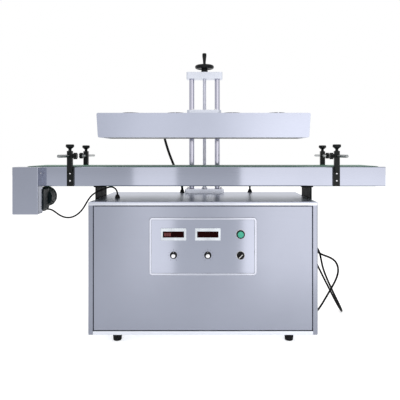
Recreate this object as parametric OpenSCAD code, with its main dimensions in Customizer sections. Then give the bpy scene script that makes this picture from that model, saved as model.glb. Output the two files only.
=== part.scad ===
// Induction cap sealer on a floor cabinet: a belt conveyor carries capped bottles under a
// fan-cooled sealing head, which a handwheel raises and lowers on two columns.
// The origin is on the floor, under the middle of the belt. +X runs along the belt, +Y to the back.

/* [Cabinet] */
// Width of the cabinet
cabinet_w = 900; // [860:5:960]
// Depth of the cabinet from front to back
cabinet_d = 480; // [470:5:540]
// Height of the cabinet above its feet
cabinet_h = 520; // [480:5:580]
// Distance from the cabinet's front face to the middle of the belt
belt_setback = 226; // [215:1:236]
// Thickness of the cabinet's sheets
sheet_t = 1.5; // [1:0.1:2]
// Outer radius of the folds in the cabinet's sheets
fold_r = 6; // [4:0.5:8]
// Width of the folded posts at the front corners
post_w = 19; // [15:1:25]
// Depth of the jambs behind the posts
jamb_d = 18; // [14:1:24]
// Width of the stops that the front panel rests against
stop_w = 14; // [10:1:20]
// Height of the top cover's turned-down edges
cover_lip = 14; // [12:1:18]
// Height of the floor pan's turned-up edges
pan_lip = 14; // [10:1:20]
// Gap seen around the front panel
panel_gap = 2.5; // [1:0.5:4]
// Height of the rubber feet
foot_h = 40; // [30:1:55]
// Largest diameter of the rubber feet
foot_d = 38; // [32:1:46]
// Distance from the cabinet's sides to the middle of the feet
foot_inset_x = 105; // [80:1:130]
// Distance from the cabinet's front and back to the middle of the feet
foot_inset_y = 55; // [45:1:75]
// Length of a ventilation slot
vent_l = 70; // [50:1:85]
// Width of a ventilation slot
vent_w = 4; // [3:0.5:6]
// Distance between the rows of ventilation slots
vent_pitch = 14; // [10:1:18]
// Rows of ventilation slots
vent_rows = 8; // [4:1:10]

/* [Control panel] */
// Width of the control plate
plate_w = 420; // [405:5:460]
// Height of the control plate
plate_h = 226; // [216:2:240]
// Height of the control plate's middle above the floor
plate_z = 386; // [370:1:400]
// Thickness of the control plate
plate_t = 2; // [1:0.5:3]
// Corner radius of the control plate
plate_r = 12; // [10:1:16]
// Width of the raised bead around the control plate
bead_w = 9; // [6:0.5:10]
// Height of the raised bead
bead_h = 2.5; // [1.5:0.5:4]
// Height of the meters and the start button above the plate's middle
upper_row = 48; // [42:1:56]
// Distance of the dials and the selector below the plate's middle
lower_row = 34; // [28:1:44]
// Place of the left meter and dial, from the middle to the left
left_column = 115; // [112:1:125]
// Place of the right meter and dial, from the middle to the right
middle_column = 19; // [14:1:24]
// Place of the start button and the selector, from the middle to the right
right_column = 147; // [142:1:160]
// Width of a meter's bezel
meter_w = 100; // [94:1:106]
// Height of a meter's bezel
meter_h = 48; // [44:1:54]
// Thickness of a meter's bezel
meter_t = 7; // [5:0.5:10]
// Depth of a meter's case behind the plate
meter_depth = 62; // [45:1:80]
// Width of a meter's window
window_w = 83; // [76:1:86]
// Height of a meter's window
window_h = 24; // [20:1:30]
// Diameter of the start button's collar
collar_d = 34; // [31:0.5:38]
// Diameter of the start button's cap
button_d = 24; // [21:0.5:25]
// Travel of the start button
button_travel = 4; // [3:0.5:5]
// Diameter of the selector's collar
selector_d = 31; // [30:0.5:36]
// Length of the selector's grip bar
selector_grip = 25; // [20:0.5:26]
// Diameter of a dial's skirt
dial_d = 28; // [24:0.5:32]
// Height of a dial
dial_h = 17; // [13:0.5:22]
// Diameter of the threaded bodies behind the switches
switch_d = 22; // [20:0.5:24]
// Depth of the switch bodies behind the front panel
switch_depth = 40; // [30:1:50]

/* [Conveyor] */
// Distance from the middle of the cabinet to the belt's left end
belt_left = 765; // [740:5:800]
// Distance from the middle of the cabinet to the belt's right end
belt_right = 760; // [740:5:800]
// Outer width of the conveyor over its rails
conveyor_w = 230; // [222:2:244]
// Height of the side rails
rail_h = 80; // [76:1:90]
// Thickness of the side rails
rail_t = 2; // [1.5:0.1:3]
// Width of the side rails' flanges
rail_flange = 14; // [11:1:18]
// Height of the rails above the cabinet's top
conveyor_lift = 54; // [50:1:70]
// Distance that the belt stands past the rails at the right end
belt_overhang = 5; // [2:0.5:8]
// Thickness of the belt
belt_t = 3; // [2:0.5:4]
// Height of the belt's face above the rails
belt_rise = 3; // [1:0.5:5]
// Gap between the belt's edges and the rails' flanges
belt_gap = 3; // [2:0.5:5]
// Diameter of the drive and tail rollers
roller_d = 78.4; // [72:0.4:79.2]
// Diameter of the rollers' shafts
roller_shaft = 20; // [16:1:24]
// Diameter of the bosses that carry the roller shafts
boss_d = 38; // [34:1:44]
// Thickness of the slider bed's sheet
bed_t = 2; // [1.5:0.1:3]
// Depth of the slider bed's skirts
bed_skirt = 30; // [24:1:36]
// Diameter of the slider bed's cross bars
bar_d = 14; // [10:1:16]
// Thickness of the legs
leg_t = 5; // [4:0.5:8]
// Length of the legs below the cabinet's top
leg_drop = 80; // [60:5:120]
// Width of the tabs that carry the rails
leg_tab = 45; // [30:1:60]

/* [Drive] */
// Width of the drive cover
cover_w = 105; // [100:1:116]
// Height of the drive cover
cover_h = 192; // [186:1:210]
// Distance that the drive cover stands in front of the rail
cover_d = 52; // [48:1:60]
// Distance that the drive cover stands past the belt's left end
cover_overhang = 7; // [4:1:10]
// Thickness of the motor plate
motor_plate_t = 3; // [2:0.5:4]
// Width of the gear head
gear_w = 80; // [72:1:84]
// Height of the gear head
gear_h = 92; // [88:1:100]
// Length of the gear head
gear_l = 68; // [60:1:76]
// Distance from the gear head's top up to the rails
gear_drop = 9; // [6:1:14]
// Distance from the drive roller's axis to the gear head's middle
gear_shift = 20; // [14:1:24]
// Diameter of the motor
motor_d = 88; // [80:1:90]
// Length of the motor
motor_l = 77; // [66:1:90]
// Distance from the gear head's middle to the motor's axis
motor_shift = 8; // [4:1:10]
// Diameter of the motor's output shaft
motor_shaft = 12; // [10:1:14]
// Diameter of the pulley on the drive roller
roller_pulley = 54; // [48:1:56]
// Diameter of the pulley on the motor
motor_pulley_d = 36; // [32:1:40]
// Width of the drive belt
drive_belt_w = 10; // [8:1:14]
// Thickness of the drive belt
drive_belt_t = 4; // [3:0.5:5]

/* [Guides] */
// Distance from the middle of the cabinet to the guide posts
post_x = 550; // [520:5:600]
// Width of a post's bracket on the rail
bracket_w = 27; // [24:1:32]
// Thickness of a post's bracket
bracket_t = 10; // [8:1:14]
// Width of a post
guide_post_w = 21; // [18:1:23]
// Depth of a post
guide_post_d = 22; // [18:1:26]
// Height of a post above the rail
guide_post_h = 66; // [60:1:76]
// Height of the guide rods above the rail
rod_rise = 45; // [40:1:50]
// Diameter of the guide rods
rod_d = 12; // [11:1:14]
// Length of a guide rod outside its post
rod_out = 138; // [120:1:160]
// Length of a guide rod inside its post
rod_in = 15; // [10:1:20]
// Diameter of the spigots at the rods' inner ends
spigot_d = 10; // [7:1:10]
// Length of the spigots at the rods' inner ends
spigot_l = 25; // [20:1:28]
// Diameter of the clamp knobs
knob_d = 34; // [28:1:38]
// Height of a clamp knob above its post
knob_h = 27; // [22:1:32]
// Diameter of the clamp knobs' studs
stud_d = 8; // [6:1:10]
// Diameter of the side knobs
side_knob_d = 27; // [24:1:32]
// Thickness of the side knobs
side_knob_t = 14; // [10:1:18]

/* [Lift] */
// Width of the column base
base_w = 185; // [176:1:200]
// Depth of the column base
base_d = 88; // [72:1:92]
// Thickness of the column base
base_t = 20; // [16:1:26]
// Distance from the cabinet's back to the columns
column_inset = 48; // [42:1:54]
// Diameter of the columns
column_d = 25; // [20:1:28]
// Distance between the columns
column_pitch = 123; // [115:1:135]
// Height of the top plate's underside above the cabinet
column_h = 546; // [500:2:600]
// Depth of the columns' seats in the base and the top plate
column_seat = 14; // [8:1:15]
// Width of the top plate
top_w = 172; // [166:1:190]
// Depth of the top plate
top_d = 56; // [46:1:70]
// Thickness of the top plate
top_t = 32; // [24:1:40]
// Diameter of the lead screw
screw_d = 18; // [16:1:22]
// Diameter of the handwheel
wheel_d = 91; // [80:1:110]
// Thickness of the handwheel's rim
rim_t = 18; // [14:1:22]
// Height of the handwheel's hub below its rim
hub_h = 18; // [12:1:24]
// Distance from the handwheel's axis to its grip
grip_reach = 36; // [30:1:37]
// Length of the grip
grip_l = 50; // [40:1:60]
// Diameter of the grip
grip_d = 20; // [16:1:22]

/* [Sealing head] */
// Width of the head along its top
head_w = 904; // [860:2:960]
// Depth of the head
head_d = 200; // [190:1:215]
// Height of the head
head_h = 104; // [96:1:120]
// Distance from the middle of the belt to the head's front face
head_front = 80; // [75:1:90]
// Gap between the belt and the head
head_gap = 120; // [100:1:140]
// Slope of the head's sides, inwards from top to bottom
head_taper = 5.5; // [2:0.5:8]
// Corner radius of the head
head_r = 7; // [5:0.5:10]
// Thickness of the head's sheet
head_t = 1.5; // [1:0.1:2.5]
// Width of the edge that holds the sole plate
sole_lip = 12; // [8:1:18]
// Thickness of the sole plate
sole_t = 8; // [6:0.5:12]
// Length of the induction coil
coil_l = 720; // [600:10:780]
// Width of the induction coil
coil_w = 130; // [110:1:150]
// Height of the induction coil
coil_h = 16; // [12:1:20]
// Distance from the middle to the inner fans
fan_inner = 124; // [120:1:130]
// Distance from the middle to the outer fans
fan_outer = 323; // [300:1:340]
// Width of a fan's frame
fan_w = 92; // [86:1:94]
// Thickness of a fan's frame
fan_t = 25; // [20:1:30]
// Diameter of a fan's opening
fan_bore = 86; // [78:1:88]
// Blades of a fan
fan_blades = 7; // [5:1:9]
// Diameter of a fan guard
guard_d = 100; // [94:1:104]
// Height of a fan guard
guard_h = 8; // [6:0.5:12]
// Diameter of a fan guard's wires
wire_d = 2.4; // [1.6:0.1:3]
// Rings of a fan guard
guard_rings = 5; // [3:1:6]
// Width of the lift carriage
carriage_w = 155; // [150:1:166]
// Thickness of the lift carriage's plate
carriage_t = 26; // [20:1:32]
// Distance that the carriage reaches over the head
carriage_reach = 58; // [45:1:62]
// Length of the carriage's sleeves below its plate
sleeve_l = 70; // [50:1:90]
// Wall of the carriage's sleeves
sleeve_wall = 6; // [5:0.5:8]
// Wall of the bushings and of the nut
bush_wall = 4; // [3:0.5:5]

/* [Hidden] */
$fn = 64;

// Gap between pieces that are fitted into each other, and radial gap of a turning or sliding fit
fit_gap = 0.3;
run_gap = 0.05;
// Small overlap that makes a cut pass right through
cut = 1;

// Places on the cabinet
cab_front = -belt_setback;
cab_back = cab_front + cabinet_d;
cab_mid_y = (cab_front + cab_back) / 2;
cab_top = foot_h + cabinet_h;
panel_w = cabinet_w - 2 * post_w - 2 * panel_gap;
panel_bottom = foot_h + pan_lip + panel_gap;
panel_top = cab_top - cover_lip - panel_gap;
panel_h = panel_top - panel_bottom;
panel_fold = jamb_d - sheet_t;
// Front of the control plate, and the corners of what is mounted on it
plate_front = cab_front - plate_t;
upper_z = plate_z + upper_row;
lower_z = plate_z - lower_row;
METER_X = [-left_column, middle_column];
DIAL_X = [-left_column, middle_column];
meter_case_w = meter_w - 8;
meter_case_h = meter_h - 5;
meter_lens_t = 2;
dial_shaft = 6;
dial_bush = 10;
selector_shaft = 8;
button_stem = 14;
collar_h = 9;
collar_floor = 1;
button_rise = 7;

// Places on the conveyor
rail_bottom = cab_top + conveyor_lift;
rail_top = rail_bottom + rail_h;
belt_top = rail_top + belt_rise;
belt_in_r = roller_d / 2 + fit_gap;
belt_out_r = belt_in_r + belt_t;
roller_z = belt_top - belt_out_r;
drive_x = -(belt_left - belt_out_r);
tail_x = belt_right - belt_out_r;
rail_y = conveyor_w / 2;
belt_half_w = rail_y - rail_flange - belt_gap;
rail_left = -belt_left - 2;
rail_right = belt_right - belt_overhang;
rail_fold = rail_t * 1.5;
roller_half_w = belt_half_w - 2;
bed_left = drive_x + belt_out_r + 2;
bed_right = tail_x - belt_out_r - 2;
BAR_COUNT = 5;
bar_z = belt_top - belt_t - fit_gap - bed_skirt + bar_d / 2 + 2;

// Places on the drive
cover_left = -belt_left - cover_overhang;
cover_mid_x = cover_left + cover_w / 2;
cover_z = rail_top - cover_h / 2;
gear_x = drive_x + gear_shift;
gear_z = rail_bottom - gear_drop - gear_h / 2;
motor_x = gear_x + motor_shift;
motor_z = gear_z + 2;
gear_back = -rail_y + gear_l;
pilot_d = motor_shaft + 12;
shaft_in = 28;
belt_ahead = 22;
drive_belt_y = -rail_y - motor_plate_t - belt_ahead;
pulley_w = drive_belt_w + 2;
flange_t = 1.5;
flange_rise = 4;
drive_r = roller_pulley / 2 + fit_gap;
driven_r = motor_pulley_d / 2 + fit_gap;

// Places on the guides, one for each of the four posts
GUIDES = [[-1, -1], [1, -1], [-1, 1], [1, 1]];
rod_z = rail_top + rod_rise;
guide_top = rail_top + guide_post_h;

// Places on the lift
column_y = cab_back - column_inset;
base_top = cab_top + base_t;
top_z = cab_top + column_h;
wheel_z = top_z + top_t + hub_h;
grip_z = wheel_z + rim_t;
screw_seat = 12;
// Depth of the lead screw's end in the handwheel, and the pin that the grip turns on
wheel_seat = 6;
grip_pin = 8;
pin_floor = 4;

// Places on the sealing head
head_z = belt_top + head_gap;
head_top = head_z + head_h;
head_back = -head_front + head_d;
head_mid_y = (head_back - head_front) / 2;
sole_top = head_z + head_t + sole_t;
CORNER_STEPS = 8;
FAN_X = [-fan_outer, -fan_inner, fan_inner, fan_outer];
fan_z = head_top - head_t - fan_t;
fan_hub = 36;
fan_boss = 30;
fan_shaft = 6;
sleeve_r = column_d / 2 + bush_wall + sleeve_wall;
bush_r = column_d / 2 + bush_wall;
nut_r = screw_d / 2 + bush_wall;
carriage_front = head_back - carriage_reach;
carriage_back = column_y + sleeve_r;
outlet_d = 20;
outlet_l = 17.6;

// Places and sizes of the cords, their glands, the coil and the plug
motor_cord_d = 7;
sensor_cord_d = 9;
mains_cord_d = 9;
head_cord_d = 12;
gland_h = 14;
gland_neck = 14;
mains_nose = 30;
cord_gap = 0.4;
// Where the cords leave the motor and the head, and where they enter the cabinet and the rail
MOTOR_OUTLET = [motor_x + 10.5, gear_back + 19, motor_z - motor_d / 2 - 8];
HEAD_OUTLET = [-196, head_back + outlet_l, head_z + 39];
RAIL_INLET = [221, rail_y, rail_bottom + 34];
MOTOR_GLAND = [-cabinet_w / 2 + 81, -51, cab_top];
HEAD_GLAND = [-108, cab_back - 39, cab_top];
SENSOR_GLAND = [RAIL_INLET[0], cab_back - 19, cab_top];
MAINS_GLAND = [cabinet_w / 2, cab_back - 109, foot_h + 280];
// The coil and the plug lie on the floor behind the cabinet
floor_gap = 0.5;
COIL_AT = [cabinet_w / 2 - 30, cab_back + 76];
coil_turn_r = 52;
coil_outer = 62;
coil_inner = 43;
coil_rise = 19;
PLUG_BODY = [34, 30, 20];
PLUG_AT = [COIL_AT[0] - 80 - cord_gap, COIL_AT[1] + coil_turn_r];
MOTOR_ROUTE = led([
    [-684, -28, 509], [-672, -28, 509], [-656, -29, 506], [-640, -33, 496], [-620, -39, 483],
    [-596, -48, 475], [-570, -58, 475], [-545, -69, 484], [-522, -79, 500], [-503, -88, 522],
    [-488, -95, 547], [-472, -99, 571], [-450, -98, 588], [-423, -88, 598], [-392, -67, 612],
    [-374, -54, 598], [-369, -51, 582], [-369, -51, 574],
], MOTOR_OUTLET, MOTOR_GLAND + [0, 0, gland_h]);
HEAD_ROUTE = led([
    [-196, 138, 856], [-196, 152, 856], [-195, 173, 848], [-192, 193, 826], [-183, 198, 790],
    [-168, 204, 742], [-148, 211, 692], [-128, 215, 645], [-113, 215, 608], [-108, 215, 586],
    [-108, 215, 574],
], HEAD_OUTLET + [0, cord_gap, 0], HEAD_GLAND + [0, 0, gland_h]);
SENSOR_ROUTE = led([
    [221, 235, 574], [221, 235, 592], [221, 235, 614], [221, 225, 635], [221, 204, 648],
    [221, 176, 648], [221, 145, 648], [221, 115, 648],
], SENSOR_GLAND + [0, 0, gland_h], RAIL_INLET);
MAINS_ROUTE = led([
    [480, 145, 320], [495, 145, 320], [514, 144, 318], [534, 137, 304], [542, 127, 270],
    [547, 116, 224], [565, 111, 175], [588, 115, 126], [610, 117, 80], [630, 117, 40], [643, 133, 13],
    [648, 161, 4], [644, 188, 13], [630, 205, 40], [610, 204, 80], [586, 202, 126], [562, 200, 174],
    [538, 198, 222], [515, 194, 268], [496, 184, 309], [486, 155, 334], [488, 117, 328],
    [506, 91, 308], [533, 78, 289], [567, 74, 280], [600, 74, 261], [613, 74, 222], [602, 74, 180],
    [580, 75, 140], [557, 77, 99], [535, 82, 58], [516, 91, 25], [500, 113, 6], [492, 145, 5],
    [488, 180, 5], [484, 216, 5], [479, 252, 5], [478, 283, 5], [477, 312, 5],
], MAINS_GLAND + [mains_nose, 0, 0], [COIL_AT[0] + 57, COIL_AT[1] - 18, mains_cord_d / 2 + floor_gap]);
TAIL_ROUTE = [
    for (p = [[-28, 12], [-45, 11], [-63, 10]]) [COIL_AT[0] + p[0], COIL_AT[1] + coil_turn_r, p[1]]
];

function unit(v) = v / norm(v);
function turned(angle) = [cos(angle), sin(angle)];

// Diameter of the neck of a gland for a cord of diameter d
function neck_d(d) = min(gland_neck, d + 5);

// Route whose points move along with its two ends
function led(route, start, end) =
    let (last = len(route) - 1)
        [for (i = [0:last])
            route[i] + (start - route[0]) * (1 - i / last) + (end - route[last]) * i / last];

// Outline of equal circles about these middles, given anticlockwise, and their common tangents
module rounded(middles, r) {
    n = len(middles);
    polygon([
        for (i = [0:n - 1])
            let (a = middles[i], b = middles[(i + 1) % n], u = unit(b - a), out = r * [u[1], -u[0]])
                each [a + out, b + out]
    ]);
    for (m = middles) translate(m) circle(r);
}

module round_rect(w, h, r) {
    x = w / 2 - r;
    y = h / 2 - r;
    rounded([[-x, -y], [x, -y], [x, y], [-x, y]], r);
}

// Outline that goes round two circles of radii ra and rb whose middles lie along X, d apart
module strap(d, ra, rb) {
    tilt = acos((ra - rb) / d);
    edge = [cos(tilt), sin(tilt)];
    low = [cos(tilt), -sin(tilt)];
    polygon([ra * low, [d, 0] + rb * low, [d, 0] + rb * edge, ra * edge]);
    circle(ra);
    translate([d, 0]) circle(rb);
}

// Rectangle that stands on the X axis, with its two upper corners rounded
module round_top(w, h, r) {
    translate([-w / 2, 0]) square([w, h - r]);
    translate([-w / 2 + r, 0]) square([w - 2 * r, h]);
    for (side = [-1, 1]) translate([side * (w / 2 - r), h - r]) circle(r);
}

// Section of a sheet of thickness t along its middle line, with square bends of middle radius r
module folded(line, t, r) {
    n = len(line);
    for (i = [0:n - 2]) {
        u = unit(line[i + 1] - line[i]);
        side = t / 2 * [u[1], -u[0]];
        a = line[i] + (i > 0 ? r : 0) * u;
        b = line[i + 1] - (i < n - 2 ? r : 0) * u;
        polygon([a + side, b + side, b - side, a - side]);
    }
    for (i = [1:n - 2]) {
        u = unit(line[i - 1] - line[i]);
        v = unit(line[i + 1] - line[i]);
        middle = line[i] + r * (u + v);
        reach = r + t;
        intersection() {
            translate(middle) difference() {
                circle(r + t / 2);
                circle(r - t / 2);
            }
            polygon([middle, middle - reach * u, middle - reach * (u + v), middle - reach * v]);
        }
    }
}

// Box with rounded upper edges and corners
module soft_box(w, d, h, r) {
    intersection() {
        rotate([90, 0, 0]) linear_extrude(d, center = true) round_top(w, h, r);
        rotate([90, 0, 90]) linear_extrude(w, center = true) round_top(d, h, r);
        linear_extrude(h) round_rect(w, d, r);
    }
}

// Folded tray of sheet t, closed at the top and open below
module tray(w, d, h, t, r) {
    difference() {
        soft_box(w, d, h, r);
        translate([0, 0, -t]) soft_box(w - 2 * t, d - 2 * t, h, r - t);
    }
}

// Turns what is modelled upwards so that it faces the front
module face_front() {
    rotate([90, 0, 0]) children();
}

// Smooth route near the points of a line, which it starts and ends on
function bend_at(a, b, c, d, t) =
    (pow(1 - t, 3) * a + (3 * pow(t, 3) - 6 * t * t + 4) * b
        + (-3 * pow(t, 3) + 3 * t * t + 3 * t + 1) * c + pow(t, 3) * d) / 6;
function smooth(p, n) =
    let (last = len(p) - 1, q = concat([2 * p[0] - p[1]], p, [2 * p[last] - p[last - 1]]))
        [for (i = [0:last - 1]) for (k = [0:n - 1]) bend_at(q[i], q[i + 1], q[i + 2], q[i + 3], k / n),
            p[last]];
function headings(q) =
    let (last = len(q) - 1)
        [for (i = [0:last]) unit(q[min(i + 1, last)] - q[max(i - 1, 0)])];
function sideways(t, seed, i = 0) =
    i == len(t) ? [] :
        let (n = unit(seed - (seed * t[i]) * t[i])) concat([n], sideways(t, n, i + 1));

// Round cord of diameter d along a route, with n rings for each of its points
module cord(points, d, n, sides = 10) {
    q = smooth(points, n);
    t = headings(q);
    a = sideways(t, [0.36, 0.48, 0.8]);
    last = len(q) - 1;
    rings = [
        for (i = [0:last]) for (k = [0:sides - 1])
            q[i] + d / 2 * (cos(360 * k / sides) * a[i] + sin(360 * k / sides) * cross(t[i], a[i]))
    ];
    walls = [
        for (i = [0:last - 1]) for (k = [0:sides - 1])
            let (k2 = (k + 1) % sides, b = i * sides, c = b + sides) [b + k, c + k, c + k2, b + k2]
    ];
    start = [for (k = [0:sides - 1]) k];
    end = [for (k = [sides - 1:-1:0]) last * sides + k];
    polyhedron(rings, concat([start, end], walls));
}

module floor_pan() {
    inner_w = cabinet_w - 2 * (sheet_t + fit_gap);
    tongue_w = cabinet_w - 2 * (post_w + fit_gap);
    floor_front = cab_front + sheet_t + fit_gap;
    floor_back = cab_back - sheet_t - fit_gap;
    relief = fold_r + 2;
    color("silver")
    difference() {
        union() {
            translate([-inner_w / 2, floor_front, foot_h])
                cube([inner_w, floor_back - floor_front, sheet_t]);
            translate([-tongue_w / 2, cab_front, foot_h])
                cube([tongue_w, floor_front - cab_front + cut, sheet_t]);
            translate([-tongue_w / 2, cab_front, foot_h]) cube([tongue_w, sheet_t, pan_lip]);
            translate([-inner_w / 2, floor_back - sheet_t, foot_h]) cube([inner_w, sheet_t, pan_lip]);
            for (side = [0, 1])
                translate([-inner_w / 2 + side * (inner_w - sheet_t), floor_front, foot_h])
                    cube([sheet_t, floor_back - floor_front, pan_lip]);
        }
        for (x = [-1, 1], y = [floor_front + relief / 2, floor_back - relief / 2])
            translate([x * (inner_w / 2 - relief / 2), y, foot_h + pan_lip / 2])
                cube([relief + cut, relief + cut, pan_lip + 2 * cut], center = true);
    }
}

module cabinet_shell() {
    half_w = cabinet_w / 2;
    wall_x = half_w - sheet_t / 2;
    edge_x = half_w - post_w;
    front_y = cab_front + sheet_t / 2;
    back_y = cab_back - sheet_t / 2;
    jamb_z = foot_h + pan_lip;
    shell_top = cab_top - cover_lip;
    vent_z = foot_h + 110;
    stop_l = stop_w + sheet_t;
    color("silver")
    difference() {
        union() {
            translate([0, 0, foot_h]) linear_extrude(shell_top - foot_h)
                folded([[-edge_x, front_y], [-wall_x, front_y], [-wall_x, back_y],
                    [wall_x, back_y], [wall_x, front_y], [edge_x, front_y]], sheet_t, fold_r - sheet_t / 2);
            for (side = [-1, 1])
                translate([0, 0, jamb_z]) linear_extrude(shell_top - jamb_z) {
                    translate([side * (edge_x + sheet_t / 2) - sheet_t / 2, cab_front])
                        square([sheet_t, jamb_d]);
                    translate([side * (edge_x + sheet_t - stop_l / 2), cab_front + jamb_d - sheet_t / 2])
                        square([stop_l, sheet_t], center = true);
                }
        }
        for (row = [0:vent_rows - 1]) {
            z = vent_z + row * vent_pitch;
            for (y = [-1, 1]) translate([0, cab_mid_y + y * cabinet_d / 6, z])
                cube([cabinet_w + 2 * cut, vent_l, vent_w], center = true);
            for (x = [-1, 0, 1]) translate([x * cabinet_w / 4, cab_back, z])
                cube([vent_l, 4 * sheet_t, vent_w], center = true);
        }
        translate(MAINS_GLAND) rotate([0, 90, 0])
            cylinder(d = neck_d(mains_cord_d) + 2 * fit_gap, h = 6 * sheet_t, center = true);
    }
}

module top_cover() {
    color("silver")
    difference() {
        translate([0, cab_mid_y, cab_top - cover_lip]) tray(cabinet_w, cabinet_d, cover_lip, sheet_t, fold_r);
        for (g = [MOTOR_GLAND, HEAD_GLAND, SENSOR_GLAND])
            translate(g) cylinder(d = gland_neck + 2 * fit_gap, h = 4 * sheet_t, center = true);
    }
}

module front_panel() {
    color("silver")
    difference() {
        translate([0, cab_front + panel_fold, (panel_bottom + panel_top) / 2])
            face_front() tray(panel_w, panel_h, panel_fold, sheet_t, 2 + sheet_t);
        control_cuts(cab_front - cut, 2 * sheet_t + cut);
    }
}

// Openings for what is mounted in the control plate, from y backwards
module control_cuts(y, depth) {
    for (x = METER_X) translate([x, y + depth / 2, upper_z])
        cube([meter_case_w + 2 * fit_gap, depth, meter_case_h + 2 * fit_gap], center = true);
    for (z = [upper_z, lower_z]) translate([right_column, y + depth, z])
        face_front() cylinder(d = switch_d + 2 * fit_gap, h = depth);
    for (x = DIAL_X) translate([x, y + depth, lower_z])
        face_front() cylinder(d = dial_bush + 2 * fit_gap, h = depth);
}

module rubber_feet() {
    nose = foot_d * 0.34;
    shoulder = foot_d / 2;
    toe_r = 4;
    color("#1c1c1e")
    for (x = [-1, 1], y = [cab_front + foot_inset_y, cab_back - foot_inset_y])
        translate([x * (cabinet_w / 2 - foot_inset_x), y, 0]) rotate_extrude() {
            polygon([[0, 0], [nose, 0], [nose + toe_r, toe_r], [shoulder, foot_h * 0.75],
                [shoulder, foot_h], [0, foot_h]]);
            intersection() {
                translate([nose, toe_r]) circle(toe_r);
                square([shoulder, foot_h]);
            }
        }
}

module control_plate() {
    color("gainsboro")
    difference() {
        union() {
            translate([0, cab_front, plate_z]) face_front() linear_extrude(plate_t)
                round_rect(plate_w, plate_h, plate_r);
            translate([0, plate_front, plate_z]) face_front() bead_ring();
        }
        control_cuts(plate_front - cut, plate_t + 2 * cut);
    }
}

// Raised bead that follows the control plate's edge in two steps
module bead_ring() {
    step = bead_w / 6;
    for (level = [0, 1]) {
        inset = level * step;
        inner = bead_w - inset;
        linear_extrude(bead_h * (level + 1) / 2) difference() {
            round_rect(plate_w - 2 * inset, plate_h - 2 * inset, plate_r - inset);
            round_rect(plate_w - 2 * inner, plate_h - 2 * inner, plate_r - inner);
        }
    }
}

module panel_meters() {
    color("whitesmoke")
    for (x = METER_X) translate([x, plate_front, upper_z])
        difference() {
            union() {
                face_front() soft_box(meter_w, meter_h, meter_t, 3);
                translate([0, meter_depth / 2, 0])
                    cube([meter_case_w, meter_depth, meter_case_h], center = true);
            }
            translate([0, -meter_t, 0]) cube([window_w, 2 * meter_lens_t, window_h], center = true);
        }
}

module meter_windows() {
    color("#3a0d10")
    for (x = METER_X) translate([x, plate_front - meter_t + meter_lens_t, upper_z])
        face_front() linear_extrude(meter_lens_t - fit_gap)
            square([window_w - 2 * fit_gap, window_h - 2 * fit_gap], center = true);
}

module control_sockets() {
    color("#2a2b2d") {
        switch_socket(upper_z, collar_d, button_d / 2 + fit_gap, button_stem / 2 + run_gap);
        switch_socket(lower_z, selector_d, 0, selector_shaft / 2 + run_gap);
        for (x = DIAL_X) translate([x, 0, lower_z]) dial_socket();
    }
}

// Collar and threaded body of a switch, with a recess and a bore for what moves in it
module switch_socket(z, d, recess_r, bore_r) {
    edge = 2;
    floor_t = 8;
    r = d / 2;
    translate([right_column, plate_front, z])
    difference() {
        union() {
            face_front() rotate_extrude()
                polygon([[0, 0], [r, 0], [r, collar_h - edge], [r - edge, collar_h], [0, collar_h]]);
            translate([0, switch_depth, 0]) face_front() cylinder(d = switch_d, h = switch_depth + cut);
        }
        if (recess_r > 0) translate([0, -collar_floor, 0]) face_front() cylinder(r = recess_r, h = collar_h);
        translate([0, switch_depth - floor_t, 0]) face_front()
            cylinder(r = bore_r, h = switch_depth + collar_h);
    }
}

// Bush and case of a potentiometer behind a dial
module dial_socket() {
    case_d = 24;
    case_l = 12;
    bush_l = sheet_t + plate_t + 3;
    bore_l = 8;
    translate([0, cab_front + sheet_t, 0])
    difference() {
        union() {
            translate([0, case_l, 0]) face_front() cylinder(d = case_d, h = case_l);
            face_front() cylinder(d = dial_bush, h = bush_l);
        }
        translate([0, bore_l, 0]) face_front()
            cylinder(d = dial_shaft + 2 * run_gap, h = bore_l + bush_l + cut);
    }
}

module cable_glands() {
    color("#202123") {
        translate(MOTOR_GLAND) gland(motor_cord_d, gland_h);
        translate(HEAD_GLAND) gland(head_cord_d, gland_h);
        translate(SENSOR_GLAND) gland(sensor_cord_d, gland_h);
        translate(MAINS_GLAND) rotate([0, 90, 0]) gland(mains_cord_d, mains_nose);
    }
}

// Cable gland for a cord of diameter d that stands on a sheet, with its neck through the sheet
module gland(d, h) {
    nut_d = gland_neck + 8;
    nut_h = 6;
    nose_d = d + 6;
    nose_r = nut_d / 2 - 2;
    translate([0, 0, -nut_h]) cylinder(d = neck_d(d), h = nut_h + cut);
    cylinder(d = nut_d, h = nut_h, $fn = 6);
    rotate_extrude()
        polygon([[0, nut_h - cut], [nose_r, nut_h - cut], [nose_r, h * 0.6], [nose_d / 2, h], [0, h]]);
}

module power_module() {
    module_w = 260;
    module_d = 220;
    module_h = 150;
    fin_h = 40;
    fin_t = 3;
    fin_pitch = 12;
    color("slategray")
    translate([-cabinet_w / 6, cab_mid_y, foot_h + sheet_t]) {
        translate([-module_w / 2, -module_d / 2, 0]) cube([module_w, module_d, module_h]);
        for (x = [-module_w / 2 + fin_pitch / 2:fin_pitch:module_w / 2 - fin_pitch / 2])
            translate([x, -module_d / 2, module_h - cut]) cube([fin_t, module_d, fin_h + cut]);
    }
}

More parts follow.
